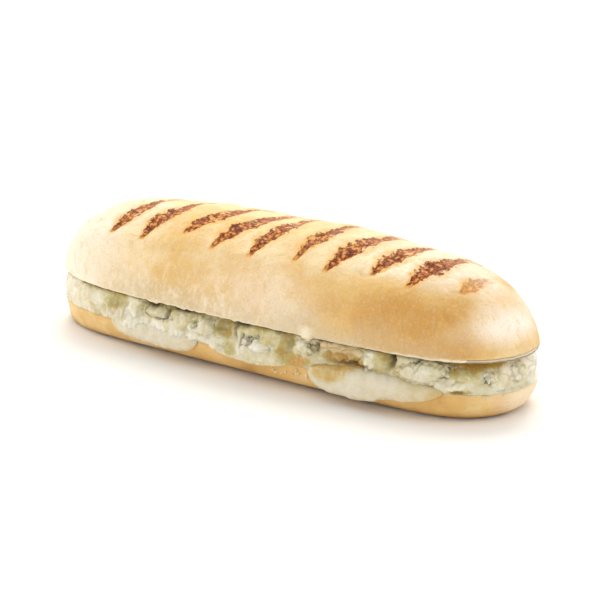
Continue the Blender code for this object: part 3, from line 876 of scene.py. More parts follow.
@dataclass
class RollTop(GridPiece):
    """The upper half of the roll: cut face, torn rim, steep wall and grilled crown."""

    slot: ClassVar[str] = "crust"
    loaf: Loaf
    columns: int = 640
    wall_rows: int = 118
    arc_rows: int = 6
    groove: float = 0.0007
    dimple: float = 0.00034
    pore: float = 0.00014
    tooth: float = 0.0006
    # Middle, half length and raggedness of each torn stretch of the front rim
    teeth: tuple[tuple[float, float, float], ...] = (
        (-0.048, 0.006, 1.0), (-0.029, 0.009, 1.0), (-0.003, 0.006, 0.7), (0.034, 0.003, 1.0),
    )
    drip: float = 0.0345

    def profile(self) -> tuple[Array, Array, Array]:
        """Section from the middle of the cut face, over the rim and up to the crown.

        Returns:
            Reach, height above the ceiling on the cut face and rim, and the share of the climb
            from the widest level to the crown on the wall.
        """
        loaf = self.loaf
        climb_all = loaf.crown_z - loaf.widest_z
        start_share = (loaf.ceiling_z + loaf.rim_radius - loaf.widest_z) / climb_all
        start = math.asin(start_share ** (loaf.shoulder_power / 2))
        turn = np.linspace(start, math.pi / 2, 900)
        out = np.cos(turn) ** (2 / loaf.shoulder_power) * loaf.half_width
        up = np.sin(turn) ** (2 / loaf.shoulder_power) * climb_all
        out, up = even_rows(out, up, self.wall_rows)
        out[-1] = 0.0
        quarter = np.linspace(0.0, math.pi / 2, self.arc_rows, endpoint=False)
        arc = out[0] - loaf.rim_radius * (1.0 - np.sin(quarter))
        arc_height = loaf.rim_radius * (1.0 - np.cos(quarter))
        inner = np.concatenate([np.linspace(0.0, 0.80, 6), np.linspace(0.86, 0.955, 8)])
        reach = np.concatenate([inner, arc / loaf.half_width, out / loaf.half_width])
        height = np.concatenate([np.full(len(inner), loaf.cut_hollow), arc_height, np.zeros(len(out))])
        share = np.concatenate([np.zeros(len(inner) + len(arc)), up / climb_all])
        return reach, height, share

    def surface(self) -> Surface:
        """Points and painted values of the half.

        The smooth form is the outline at each row's reach. Relief then moves it away from the
        core: broad swelling and the bars' grooves as in the solid, then dimples, creases and
        pores. The rim's rows are torn up and down by noise of a few millimetres.

        Returns:
            The grid and its fields.
        """
        loaf = self.loaf
        reach, height, share = self.profile()
        angle = loaf.even_angles(self.columns)
        x, y = loaf.outline(angle[None, :], reach[:, None])
        crown = loaf.crown_z * (1.0 - loaf.crown_fall * ((x - loaf.crown_peak_x) / loaf.half_length) ** 2)
        wall = loaf.widest_z + (crown - loaf.widest_z) * share[:, None]
        z = np.where(share[:, None] > 0.0, wall, loaf.ceiling(x) + height[:, None])
        grid = np.stack([x, y, z], axis=-1)
        width, along, strength = loaf.mark_fields(grid)
        upper = loaf.ceiling_z + 2 * loaf.rim_radius
        fade = smoothstep(z, upper, upper + 0.007)
        above = z - loaf.ceiling(x)
        skin = smoothstep(above, 0.0004, 0.003) * (share[:, None] > 0.0)
        pressed = strength * smoothstep(width, 1.25, 0.35)
        relief = fade * (loaf.swell(grid, 11) - self.groove * pressed)
        relief += skin * self.dimple * rough_noise(grid, 0.010, 71)
        relief += skin * self.pore * rough_noise(grid, 0.0034, 75)
        relief += 0.00015 * bell(above, 0.0016, 0.0016) * smoothstep(x, -0.01, 0.05) * (share[:, None] > 0)
        relief -= self.dents(grid) * skin
        grid = grid + relief[..., None] * loaf.outward(grid, loaf.widest_z)
        near_rim = smoothstep(above, 0.006, 0.0) * smoothstep(reach[:, None], 0.86, 0.95)
        torn = self.tooth * rough_noise(grid * (1.0, 1.0, 0.3), 0.0034, 81)
        teeth = sum(ragged * bell(x, middle, half) for middle, half, ragged in self.teeth)
        grid[..., 2] += near_rim * (0.3 + 1.5 * teeth * (y < 0)) * torn
        grid[..., 2] -= near_rim * 0.0014 * bell(x, self.drip, 0.0024) * (y < 0)
        edge = above + 0.0006 * rough_noise(grid, 0.003, 85)
        crumb = np.where(share[:, None] > 0.0, smoothstep(edge, 0.0016, 0.0006), 1.0)
        crumb = crumb * np.where(above > 0.0007, 0.35, 1.0)
        crumb = np.maximum(crumb, smoothstep(above, 0.006, 0.003) * bell(x, self.drip, 0.003) * (y < 0))
        return grid, {"crumb": crumb, "mark_width": width, "mark_along": along,
                      "mark_strength": strength * smoothstep(z, 0.038, 0.042), **self.bake(grid, above)}

    def dents(self, points: Array) -> Array:
        """Depth of the creases and finger dents in the shoulders.

        Each is a stretched bump: exp(-(along / length)^2 - (across / width)^2).

        Args:
            points: Places on the crust.

        Returns:
            The depth, in metres.
        """
        depth = np.zeros(points.shape[:-1])
        creases = (
            ((0.094, -0.024, 0.045), (0.75, -0.35, -0.55), 0.0085, 0.0016, 0.0012),
            ((0.101, -0.02, 0.044), (0.55, 0.2, -0.8), 0.006, 0.0013, 0.0009),
            ((0.054, -0.024, 0.054), (0.95, -0.3, 0.05), 0.0075, 0.0011, 0.0008),
            ((0.062, -0.02, 0.056), (0.55, 0.8, 0.15), 0.007, 0.0011, 0.0007),
            ((0.04, -0.02, 0.058), (0.8, 0.55, 0.1), 0.007, 0.0012, 0.0007),
            ((-0.041, -0.029, 0.049), (0.7, -0.3, 0.65), 0.0045, 0.0013, 0.001),
            ((-0.01, 0.028, 0.051), (0.9, 0.3, 0.2), 0.009, 0.0014, 0.0009),
            ((0.06, 0.027, 0.049), (0.7, -0.6, 0.3), 0.008, 0.0014, 0.0009),
        )
        for middle, direction, length, width, deep in creases:
            axis = unit(np.array(direction))
            off = points - np.array(middle)
            run = off @ axis
            side = np.sqrt(np.maximum((off**2).sum(axis=-1) - run**2, 0.0))
            depth += deep * np.exp(-((run / length) ** 2) - (side / width) ** 2)
        return depth

    def bake(self, points: Array, above: Array) -> dict[str, Array]:
        """How browned, floury and pale the crust is, and where shade and light are painted on it.

        Toast is greatest along the middle of the right-hand wall and least on the crown. Flour
        clings low on the left half's wall. Both ends and the top of the crown are pale, partly bare
        crust and partly painted light, and painted shade darkens the wall towards the slit. The back
        wall is a little browner and less pale than the front.

        Args:
            points: Places on the crust.
            above: Heights above the rim.

        Returns:
            The fields.
        """
        x, z = points[..., 0], points[..., 2]
        drift = 0.010 * soft_noise(points, 0.030, 61)
        wall = bell(z, 0.041, 0.014) * smoothstep(z + 0.15 * drift, 0.0575, 0.0530)
        right = smoothstep(x, 0.015, 0.072) * smoothstep(x + drift, 0.122, 0.090)
        low = smoothstep(above + 0.3 * drift, 0.016, 0.0)
        toast = 0.20 + 0.62 * wall * right + 0.70 * low * bell(x, 0.086, 0.030)
        toast += 0.30 * wall * smoothstep(x, -0.085, -0.03) + 0.06 * smoothstep(z, 0.046, 0.054)
        flour = 0.08 + (0.17 + 0.75 * smoothstep(above, 0.026, 0.004)) * smoothstep(x, 0.055, -0.02)
        # Pale ends and a pale patch mid-wall, partly bare crust and partly painted light
        bare_and_painted_light = 0.95 * smoothstep(x + drift, 0.099, 0.120) * smoothstep(above, 0.002, 0.012)
        bare_and_painted_light += 0.40 * bell(x, 0.010, 0.024) * bell(z, 0.040, 0.011)
        bare_and_painted_light += 0.80 * smoothstep(x + drift, -0.055, -0.100)
        # Painted light: the top of the crown whitened, towards the right
        upper = z + 0.1 * np.maximum(x - 0.06, 0.0)
        bare_and_painted_light += 0.62 * smoothstep(upper, 0.052, 0.060) * smoothstep(x, 0.02, 0.08)
        behind = smoothstep(points[..., 1], 0.014, 0.034)
        toast += 0.26 * behind * wall
        bare_and_painted_light *= 1.0 - 0.6 * behind
        # Painted shade low on the wall near the slit, weaker on the right
        painted_wall_shade = 0.95 * smoothstep(x, -0.095, -0.070) - 0.45 * smoothstep(x, 0.03, 0.08)
        painted_wall_shade = low * painted_wall_shade * smoothstep(x, 0.112, 0.090)
        return {"toast": toast, "flour": flour, "bare_and_painted_light": np.minimum(bare_and_painted_light, 0.95), "painted_wall_shade": painted_wall_shade}


@dataclass
class RollBottom(GridPiece):
    """The lower half of the roll: flat toasted base, rounded foot, wall, rim and cut face."""

    slot: ClassVar[str] = "crust_bottom"
    loaf: Loaf
    columns: int = 560
    wall_rows: int = 48
    flat_rows: int = 14
    dimple: float = 0.00022
    pore: float = 0.00010
    tooth: float = 0.0003
    skin_top: float = 0.0115

    def surface(self) -> Surface:
        """Points and painted values of the half: the smooth form, then its relief off the wall.

        Returns:
            The grid and its fields.
        """
        loaf, flat = self.loaf, self.flat_rows
        scale, draw, height = loaf.bottom_section(self.wall_rows)
        scale = np.concatenate([np.linspace(0.0, 0.97, flat), scale, np.linspace(loaf.cut_edge, 0.0, flat)])
        draw = np.concatenate([np.ones(flat), draw, np.zeros(flat)])
        middle = np.concatenate([np.zeros(flat), height, np.full(flat, loaf.floor_z - loaf.cut_hollow)])
        angle = loaf.even_angles(self.columns)
        reach = scale[:, None] * (loaf.bottom_reach - loaf.foot_depth(angle) * draw[:, None])
        x, y = loaf.outline(angle, reach)
        rise = loaf.floor(x) - loaf.floor_z
        z = middle[:, None] + rise * smoothstep(middle, 0.0, loaf.floor_z)[:, None]
        grid = np.stack([x, y, z], axis=-1)
        row = np.arange(len(scale))[:, None]
        on_wall = smoothstep(z, 0.0008, 0.003) * (row < flat + self.wall_rows)
        fade = smoothstep(z, 0.001, 0.005) * smoothstep(z, loaf.floor_z - loaf.rim_radius, 0.006)
        relief = fade * np.minimum(loaf.swell(grid, 23), 0.0)
        relief += on_wall * self.dimple * rough_noise(grid, 0.009, 91)
        relief += on_wall * self.pore * rough_noise(grid, 0.003, 95)
        grid[..., :2] += relief[..., None] * loaf.outward(grid, loaf.floor_z)[..., :2]
        torn = self.tooth * rough_noise(grid, 0.004, 97)
        cut = row >= flat + self.wall_rows
        grid[..., 2] += np.where(cut | (middle[:, None] > self.skin_top), torn, 0.0)
        crumb = np.where(cut, 1.0, smoothstep(z + torn, 0.0121, 0.0127))
        toast = 0.32 + 0.48 * bell(x, -0.01, 0.05) + 0.42 * bell(x, 0.094, 0.026)
        toast += 0.2 * smoothstep(z, 0.012, 0.002)
        # Pale ends, partly bare crust and partly painted light
        bare_and_painted_light = 0.8 * smoothstep(x, 0.111, 0.1215) + 0.6 * smoothstep(x, -0.100, -0.118)
        return grid, {"crumb": crumb, "toast": toast, "bare_and_painted_light": bare_and_painted_light * smoothstep(z, 0.001, 0.004)}


@dataclass(frozen=True)
class Hollow:
    """A gap in the filling.

    Attributes:
        x: Place along the roll.
        side: Which side it opens on.
        level: Height in the slit, 0 at the floor and 1 at the ceiling.
        half_length: Half its length along the roll.
        half_level: Half its height, as a share of the slit.
        depth: How far it goes in.
        dark: How much painted shade darkens its inside, 0 to 1.
    """

    x: float
    side: Side
    level: float
    half_length: float
    half_level: float
    depth: float
    dark: float = 0.0


# The first five are in the solid too. A hollow's dark value is the painted shade inside it
HOLLOWS = tuple(Hollow(*row) for row in (
    (0.054, FRONT, 0.52, 0.015, 0.32, 0.0052), (0.106, FRONT, 0.95, 0.014, 0.34, 0.0058, 0.35),
    (-0.014, FRONT, 0.95, 0.012, 0.3, 0.0036), (-0.06, BACK, 0.9, 0.013, 0.3, 0.0044, 0.3),
    (0.056, BACK, 0.7, 0.012, 0.3, 0.0048, 0.25), (0.0742, FRONT, 0.82, 0.0018, 0.36, 0.005, 1.0),
    (0.0392, FRONT, 0.7, 0.0012, 0.22, 0.0024, 0.75), (0.0565, FRONT, 0.34, 0.012, 0.06, 0.002, 0.85),
    (0.104, FRONT, 0.04, 0.0034, 0.07, 0.0014, 0.7), (-0.048, FRONT, 0.92, 0.0056, 0.14, 0.0034, 1.0),
    (-0.031, FRONT, 0.92, 0.0074, 0.11, 0.0034, 1.0), (-0.0385, FRONT, 0.72, 0.0016, 0.26, 0.002, 0.75),
    (-0.043, FRONT, 0.52, 0.0032, 0.09, 0.0018, 0.7), (-0.009, FRONT, 0.6, 0.005, 0.3, 0.002, 0.22),
    (-0.001, FRONT, 0.92, 0.008, 0.11, 0.003, 0.85), (0.0262, FRONT, 0.62, 0.003, 0.3, 0.002, 0.35),
    (-0.0705, FRONT, 0.68, 0.005, 0.28, 0.0012, 0.16), (-0.002, FRONT, 0.62, 0.0012, 0.34, 0.0018, 0.65),
    (0.002, FRONT, 0.44, 0.001, 0.3, 0.0014, 0.55), (0.1172, FRONT, 0.8, 0.0006, 0.22, 0.001, 0.8),
    (0.03, BACK, 0.95, 0.006, 0.12, 0.003, 0.8), (-0.09, BACK, 0.6, 0.0014, 0.24, 0.003, 0.7),
))
SOLID_HOLLOWS = 5


def pulled(x: Array, y: Array, level: Array, hollows: Sequence[Hollow]) -> tuple[Array, Array]:
    """How far hollows pull the edge in and how much painted shade they put there: a soft bump for each.

    They fade out where the two sides meet.

    Args:
        x: Place along the roll.
        y: Place across it, whose sign gives the side.
        level: Height in the slit.
        hollows: The hollows.

    Returns:
        Depth and painted shade.
    """
    depth = np.zeros(np.broadcast(x, level).shape)
    dark = depth.copy()
    for hollow in hollows:
        shape = bell(x, hollow.x, hollow.half_length) * smoothstep(hollow.side.value * y, 0.0, 0.010)
        shape = shape * bell(level, hollow.level, hollow.half_level)
        depth += hollow.depth * shape
        dark = np.maximum(dark, hollow.dark * smoothstep(shape, 0.25, 0.85))
    return depth, dark


@dataclass(frozen=True)
class Blob:
    """A rounded part of the melted edge with a colour of its own.

    Attributes:
        x: Place along the roll.
        level: Height in the slit, 0 at the floor and 1 at the ceiling.
        half_length: Half its length along the roll.
        half_level: Half its height, as a share of the slit.
        swell: How far its middle stands out.
        tone: Its place in the colour ramp, 0 milky to 1 gold.
        vein: How grey-green it is.
        warm: How much of the crust's warmth shows through.
    """

    x: float
    level: float
    half_length: float
    half_level: float
    swell: float
    tone: float
    vein: float = 0.0
    warm: float = 0.0


@dataclass
class MeltLayer(GridPiece):
    """The melted layer that fills the slit, bellies out of it all round and laps over the rim."""

    slot: ClassVar[str] = "melt"
    loaf: Loaf
    columns: int = 1080
    edge_rows: int = 84
    reach: float = 0.955
    lobe: float = 0.026
    end_draw: float = 0.032
    belly: float = 0.050
    gap: float = 0.0004
    lip_drop: float = 0.0024
    sag: float = 0.0017
    sag_middle: float = -0.0475
    ragged_grain: float = 0.0042
    curd_size: float = 0.0058
    curd_seam: float = 0.0004
    fold: float = 0.0009
    strand: float = 0.0004
    # Middle, side and half length of each lip that laps over the rim
    lips: tuple[tuple[float, Side, float], ...] = (
        (0.0070, FRONT, 0.0235), (-0.0560, BACK, 0.0310), (0.0780, BACK, 0.0220),
    )
    # The blobs of tone above 1 at x 0.104 and 0.106 are painted shade: the shaded inside of the slit under
    # the rim and a shaded slot on its floor
    blobs: tuple[Blob, ...] = tuple(Blob(*row) for row in (
        (-0.118, 0.5, 0.01, 0.9, 0.0, 0.0, 0.0, 0.05), (-0.102, 0.45, 0.009, 0.7, 0.0, 0.1, 0.0, 0.05),
        (-0.09, 0.5, 0.006, 0.6, 0.0002, 0.2, 0.0, 0.1), (-0.081, 0.58, 0.0042, 0.36, 0.0007, 0.24, 0.15),
        (-0.07, 0.66, 0.0072, 0.36, 0.0002, 0.66, 0.0), (-0.07, 0.12, 0.009, 0.28, 0.0004, 0.3, 0.0, 0.2),
        (-0.0585, 0.5, 0.005, 0.62, 0.0006, 0.06), (-0.047, 0.68, 0.008, 0.3, 0.0002, 0.62, 0.6),
        (-0.0475, 0.1, 0.023, 0.36, 0.0, 0.05), (-0.0385, 0.3, 0.0016, 0.12, 0.0007, 0.42),
        (-0.0285, 0.55, 0.0068, 0.36, 0.0006, 0.34, 0.12), (-0.0275, 0.14, 0.01, 0.14, 0.0004, 0.04),
        (-0.0155, 0.82, 0.0026, 0.2, 0.0008, 0.05, 0.0, 0.18), (-0.009, 0.66, 0.005, 0.34, 0.0002, 0.74),
        (-0.014, 0.16, 0.0046, 0.26, 0.001, 0.1), (-0.004, 0.06, 0.0048, 0.18, 0.0004, 0.6),
        (0.003, 0.2, 0.004, 0.28, 0.0006, 0.16), (0.011, 0.0, 0.008, 0.16, 0.0004, 0.2),
        (0.025, 0.66, 0.004, 0.32, 0.0002, 0.7), (0.024, 0.16, 0.0044, 0.26, 0.0003, 0.82),
        (0.032, 0.12, 0.0042, 0.18, 0.0002, 1.0, 0.0, 0.3),
        (0.043, 0.82, 0.005, 0.2, 0.0008, 0.34, 0.0, 0.38),
        (0.053, 0.7, 0.0064, 0.26, 0.0007, 0.46, 0.0, 0.45),
        (0.048, 0.44, 0.007, 0.16, 0.0002, 0.95, 0.0, 0.2),
        (0.06, 0.42, 0.005, 0.16, 0.0002, 0.98, 0.0, 0.1), (0.0648, 0.62, 0.0036, 0.36, 0.0008, 0.02),
        (0.0705, 0.6, 0.003, 0.4, 0.0002, 0.6), (0.099, 0.7, 0.006, 0.3, 0.0002, 0.7),
        (0.106, 0.62, 0.0056, 0.26, 0.0003, 0.58), (0.106, 0.92, 0.012, 0.26, 0.0, 1.1),
        (0.102, 0.18, 0.0034, 0.12, 0.0008, 0.04), (0.104, 0.03, 0.0034, 0.08, 0.0, 1.05),
        (0.1095, 0.22, 0.0034, 0.2, 0.0004, 0.3), (0.118, 0.55, 0.004, 0.4, 0.0005, 0.08, 0.1, 0.2),
    ))

    def control(self, angle: Array) -> Array:
        """The solid's own section lines: in along the floor, over the rim to the lip, up and in again.

        Args:
            angle: Angles round the roll.

        Returns:
            Points, as (12, columns, 3).
        """
        loaf = self.loaf
        edge_x, edge_y = loaf.outline(angle, 1.0)
        edge = np.stack([edge_x, edge_y, 0 * edge_x], axis=-1)
        inner = np.array((0.0, 0.75))[:, None]
        lobes = self.reach + self.lobe * soft_noise(edge, 0.019, 41)
        lobes = lobes - self.end_draw * smoothstep(np.abs(edge_x), 0.100, 0.118)
        hang = self.lip_drop * smoothstep(soft_noise(edge, 0.034, 42), -1.2, 1.0)
        lapping = np.zeros(angle.shape)
        for middle, side, half in self.lips:
            inside = smoothstep(half - np.abs(edge_x - middle), 0.0, 0.008) * (np.sign(edge_y) == side.value)
            lapping = np.maximum(lapping, inside)
        tucked = -0.0010 + 0.0003 * np.arange(4)[:, None]
        wanted = np.stack([0 * hang - 0.0010, 0 * hang, hang, hang])
        lift = 0.0006 + 0.0010 * np.array((0.0, 0.0, 0.35, 1.0))[:, None] * (0.3 + 0.7 * lapping)
        lip_reach, lip_z = loaf.over_rim(tucked + (wanted - tucked) * lapping, lift, angle)
        level = np.array((0.22, 0.48, 0.74, 1.0))[:, None]
        side_reach = lobes + self.belly * (np.sin(math.pi * level) ** 0.8 - level / 2)
        side_reach = side_reach - pulled(edge_x, edge_y, level, HOLLOWS[:SOLID_HOLLOWS])[0] / loaf.half_width
        reach = np.concatenate([inner * lobes, lip_reach, side_reach, inner[::-1] * lobes])
        x, y = loaf.outline(angle, reach)
        share = np.concatenate([np.zeros((6, 1)), level, np.ones((2, 1))])
        hanging = np.zeros(x.shape)
        hanging[2:6] = lip_z - loaf.floor_z - self.gap
        low, high = loaf.floor(x) + self.gap, loaf.ceiling(x) - self.gap
        return np.stack([x, y, low + (high - low) * share + hanging], axis=-1)

    def run_together(self, place: Array, level: Array, warp: Array, base: Array) -> dict[str, Array]:
        """The blobs' colours and domes, where each lies over the last with a noisy soft edge.

        Args:
            place: Place along the roll, negated for the side that mirrors the front.
            level: Height in the slit.
            warp: Noise that shapes the outlines.
            base: Tone where no blob lies.

        Returns:
            Tone, vein, warmth and how far the surface swells.
        """
        fields = {"tone": base, "vein": 0 * place, "warm": 0 * place}
        swell = np.zeros(place.shape)
        for blob in self.blobs:
            off = np.hypot((place - blob.x) / blob.half_length, (level - blob.level) / blob.half_level) + warp
            swell = np.maximum(swell, blob.swell * np.sqrt(np.clip(1.0 - off**2, 0.0, 1.0)))
            weight = smoothstep(off, 1.40, 0.60)
            for label, value in fields.items():
                fields[label] = value + (getattr(blob, label) - value) * weight
        return {**fields, "swell": swell}

    def surface(self) -> Surface:
        """Points and painted values of the layer.

        A cubic curve through the section lines gives the smooth form. Blobs stand out of it as
        domes, sqrt(1 - r^2), with a noisy outline; hollows, folds and strands pull it in and out.
        On the hidden side the blobs are mirrored end for end.

        Returns:
            The grid and its fields.
        """
        loaf = self.loaf
        angle = loaf.even_angles(self.columns)
        lines = self.control(angle)
        edge = np.linspace(1.7, 9.2, self.edge_rows)
        at = np.concatenate([[0.0, 0.6, 1.0, 1.4], edge, [9.6, 10.0, 10.6, 11.0]])
        first = np.minimum(at.astype(int), len(lines) - 2)
        part = (at - first)[:, None, None]
        before, start = lines[np.maximum(first - 1, 0)], lines[first]
        end, after = lines[first + 1], lines[np.minimum(first + 2, len(lines) - 1)]
        curve = (end - before) + (2 * before - 5 * start + 4 * end - after) * part
        curve = curve + (3 * (start - end) + after - before) * part**2
        grid = start + 0.5 * part * curve
        x, y, z = grid[..., 0], grid[..., 1], grid[..., 2]
        low, high = loaf.floor(x), loaf.ceiling(x)
        level = (z - low) / (high - low)
        shown = smoothstep(at, 3.6, 4.8)[:, None] * smoothstep(at, 9.1, 8.6)[:, None]
        warp = 0.42 * rough_noise(grid, self.ragged_grain, 101, 4)
        calm = 1.0 - 0.6 * smoothstep(np.abs(x), 0.100, 0.118)
        behind = smoothstep(y, -0.006, 0.006)
        base = 0.40 + 0.12 * soft_noise(grid, 0.022, 141)
        front, back = self.run_together(x, level, warp, base), self.run_together(-x, level, warp, base)
        fields = {label: front[label] + (back[label] - front[label]) * behind for label in front}
        swell = fields.pop("swell")
        depth, dark = pulled(x + 0.0030 * warp, y, level + 0.2 * warp, HOLLOWS[SOLID_HOLLOWS:])
        dark = np.maximum(dark, pulled(x, y, level, HOLLOWS[:SOLID_HOLLOWS])[1])
        shifted = grid + 0.0012 * soft_noise(grid, 0.006, 181)[..., None]
        first_cell, next_cell = cell_noise(shifted, self.curd_size, 191)
        curds = smoothstep(rough_noise(grid, 0.016, 201), -0.05, 0.45)
        seam = smoothstep(next_cell - first_cell, 0.24, 0.0) * curds
        # Painted shade in the seams between curds, above the floor
        dark = np.maximum(dark, 0.32 * seam * smoothstep(level, 0.05, 0.35))
        folds = self.fold * rough_noise(grid, 0.0055, 111, 4) - self.curd_seam * seam
        stringy = smoothstep(soft_noise(grid, 0.028, 131), 0.0, 0.9)
        drawn = grid @ np.array(((1.0, 0, 0.6), (0, 1.0, 0), (0, 0, 0.2)))
        strands = self.strand * gradient_noise(drawn, 0.0020, 121)
        relief = swell + folds + strands * (0.25 + stringy) - depth
        sagging = self.sag * smoothstep(level, 0.55, 0.15) * (y < 0)
        sagging = sagging * smoothstep(np.abs(x - self.sag_middle), 0.026, 0.018)
        sagging = sagging * (0.7 + 0.6 * rough_noise(grid, 0.006, 211))
        relief = relief + sagging
        grid[..., 2] -= 0.8 * shown * sagging
        grid[..., :2] += (calm * shown * relief)[..., None] * loaf.outward(grid, 0.019)[..., :2]
        # Painted shade under the rim: the melt turns darker and more golden towards the ceiling
        under_rim_shade = smoothstep(level + 0.10 * warp, 0.80, 1.0)
        ridge = np.abs(gradient_noise(grid, 0.0040, 151))
        patch = smoothstep(soft_noise(grid, 0.022, 161), 0.3, 0.9)
        fields["vein"] = np.maximum(fields["vein"], 0.65 * smoothstep(ridge, 0.12, 0.02) * patch)
        fields["tone"] = fields["tone"] + 0.22 * under_rim_shade + 0.10 * rough_noise(grid, 0.004, 171)
        fields["dark"] = np.clip(0.85 * dark + 0.40 * under_rim_shade, 0.0, 1.0)
        return grid, fields


@dataclass
class DrapedCheese(GridPiece):
    """A slice that lies on the cut face, softens over the rim and hangs down the wall.

    Attributes:
        loaf: The roll's shape.
        x: Middle along the roll.
        side: The side that it hangs on.
        half_length: Half its length along the roll.
        drop: How far it hangs below the rim.
        lean: How much deeper its left end hangs than its middle.
        inside: How far it lies inside.
        thickness: Its thickness.
        seed: Seed of its hem.
        honey: Where along the roll its top turns honey-coloured, and over what half length.
        tan: How much its right end darkens.
    """

    slot: ClassVar[str] = "mozzarella"
    cap: ClassVar[EndCap] = EndCap.POINT
    loaf: Loaf
    x: float
    side: Side
    half_length: float
    drop: float
    lean: float
    inside: float
    thickness: float
    seed: int
    honey: tuple[float, float] = (0.0, 0.0)
    tan: float = 0.0
    columns: int = 260
    face_rows: int = 76
    lift: float = 0.0003
    end_power: float = 2.6
    edge_power: float = 0.42
    waviness: float = 0.16
    bead: float = 0.30

    def surface(self) -> Surface:
        """Points and painted values: a flat bar with rounded edges, bent over the rim.

        Going round the section, the distance along the bend is a cosine and the lift off it a
        power of a sine. Length and thickness fade to nothing at both ends of the slice.

        Returns:
            The grid and its fields.
        """
        place = np.sin(np.linspace(-math.pi / 2, math.pi / 2, self.columns))
        round_off = np.sqrt(np.clip(1.0 - np.abs(place) ** self.end_power, 0.0, 1.0))[:, None]
        spot = np.stack([place, 0 * place, 0 * place], axis=-1)
        wave = 1.0 - self.lean * place + self.waviness * soft_noise(spot, 0.9, self.seed)
        wave += 0.05 * gradient_noise(self.half_length * spot, 0.004, self.seed + 5)
        half_turn = np.linspace(0.0, math.pi, self.face_rows)
        turn = np.concatenate([half_turn, math.pi + half_turn[1:-1]])
        along = 0.5 + 0.5 * np.cos(turn)[None, :]
        length = (self.inside + self.drop * wave[:, None]) * round_off
        distance = -self.inside * round_off + length * along
        bar = (np.sign(np.sin(turn)) * np.abs(np.sin(turn)) ** self.edge_power)[None, :]
        bead = 1.0 + self.bead * bell(along, 0.94, 0.06)
        flat = np.broadcast_arrays(self.half_length * place[:, None], distance, 0 * distance)
        flat = np.stack(flat, axis=-1)
        bumps = 1.0 + 0.20 * rough_noise(flat, 0.008, self.seed + 9) * (bar > 0)
        lift = self.lift + self.thickness * round_off * (0.5 + 0.5 * bar * bead) * bumps
        angle = self.loaf.angle_at(self.x + self.half_length * place, self.side)[:, None]
        reach, height = self.loaf.over_rim(distance, lift, angle)
        x, y = self.loaf.outline(angle, reach)
        grid = np.stack([x, y, height + self.loaf.floor(x) - self.loaf.floor_z], axis=-1)
        hem = smoothstep(along, 0.86, 1.0) * 0.4
        thin = np.clip(hem + smoothstep(round_off, 0.80, 0.25) * 0.6, 0.0, 1.0)
        inner = smoothstep(distance, 0.0030, -0.001)
        middle, half = self.honey
        rough = rough_noise(flat, 0.006, self.seed + 3)
        reaching = 0.0042 * (1.0 - ((x - middle) / half) ** 2) if half else -1.0 + 0.0 * x
        amber = smoothstep(distance + 0.0008 * rough, reaching, reaching - 0.0032)
        tan = self.tan * smoothstep(place, 0.1, 0.9)[:, None]
        tone = 0.06 + 0.30 * thin + 0.08 * inner + 0.66 * amber + tan + 0.08 * rough
        return grid, {"tone": tone, "warm": 0.2 * thin, "vein": 0 * thin, "dark": 0 * thin}


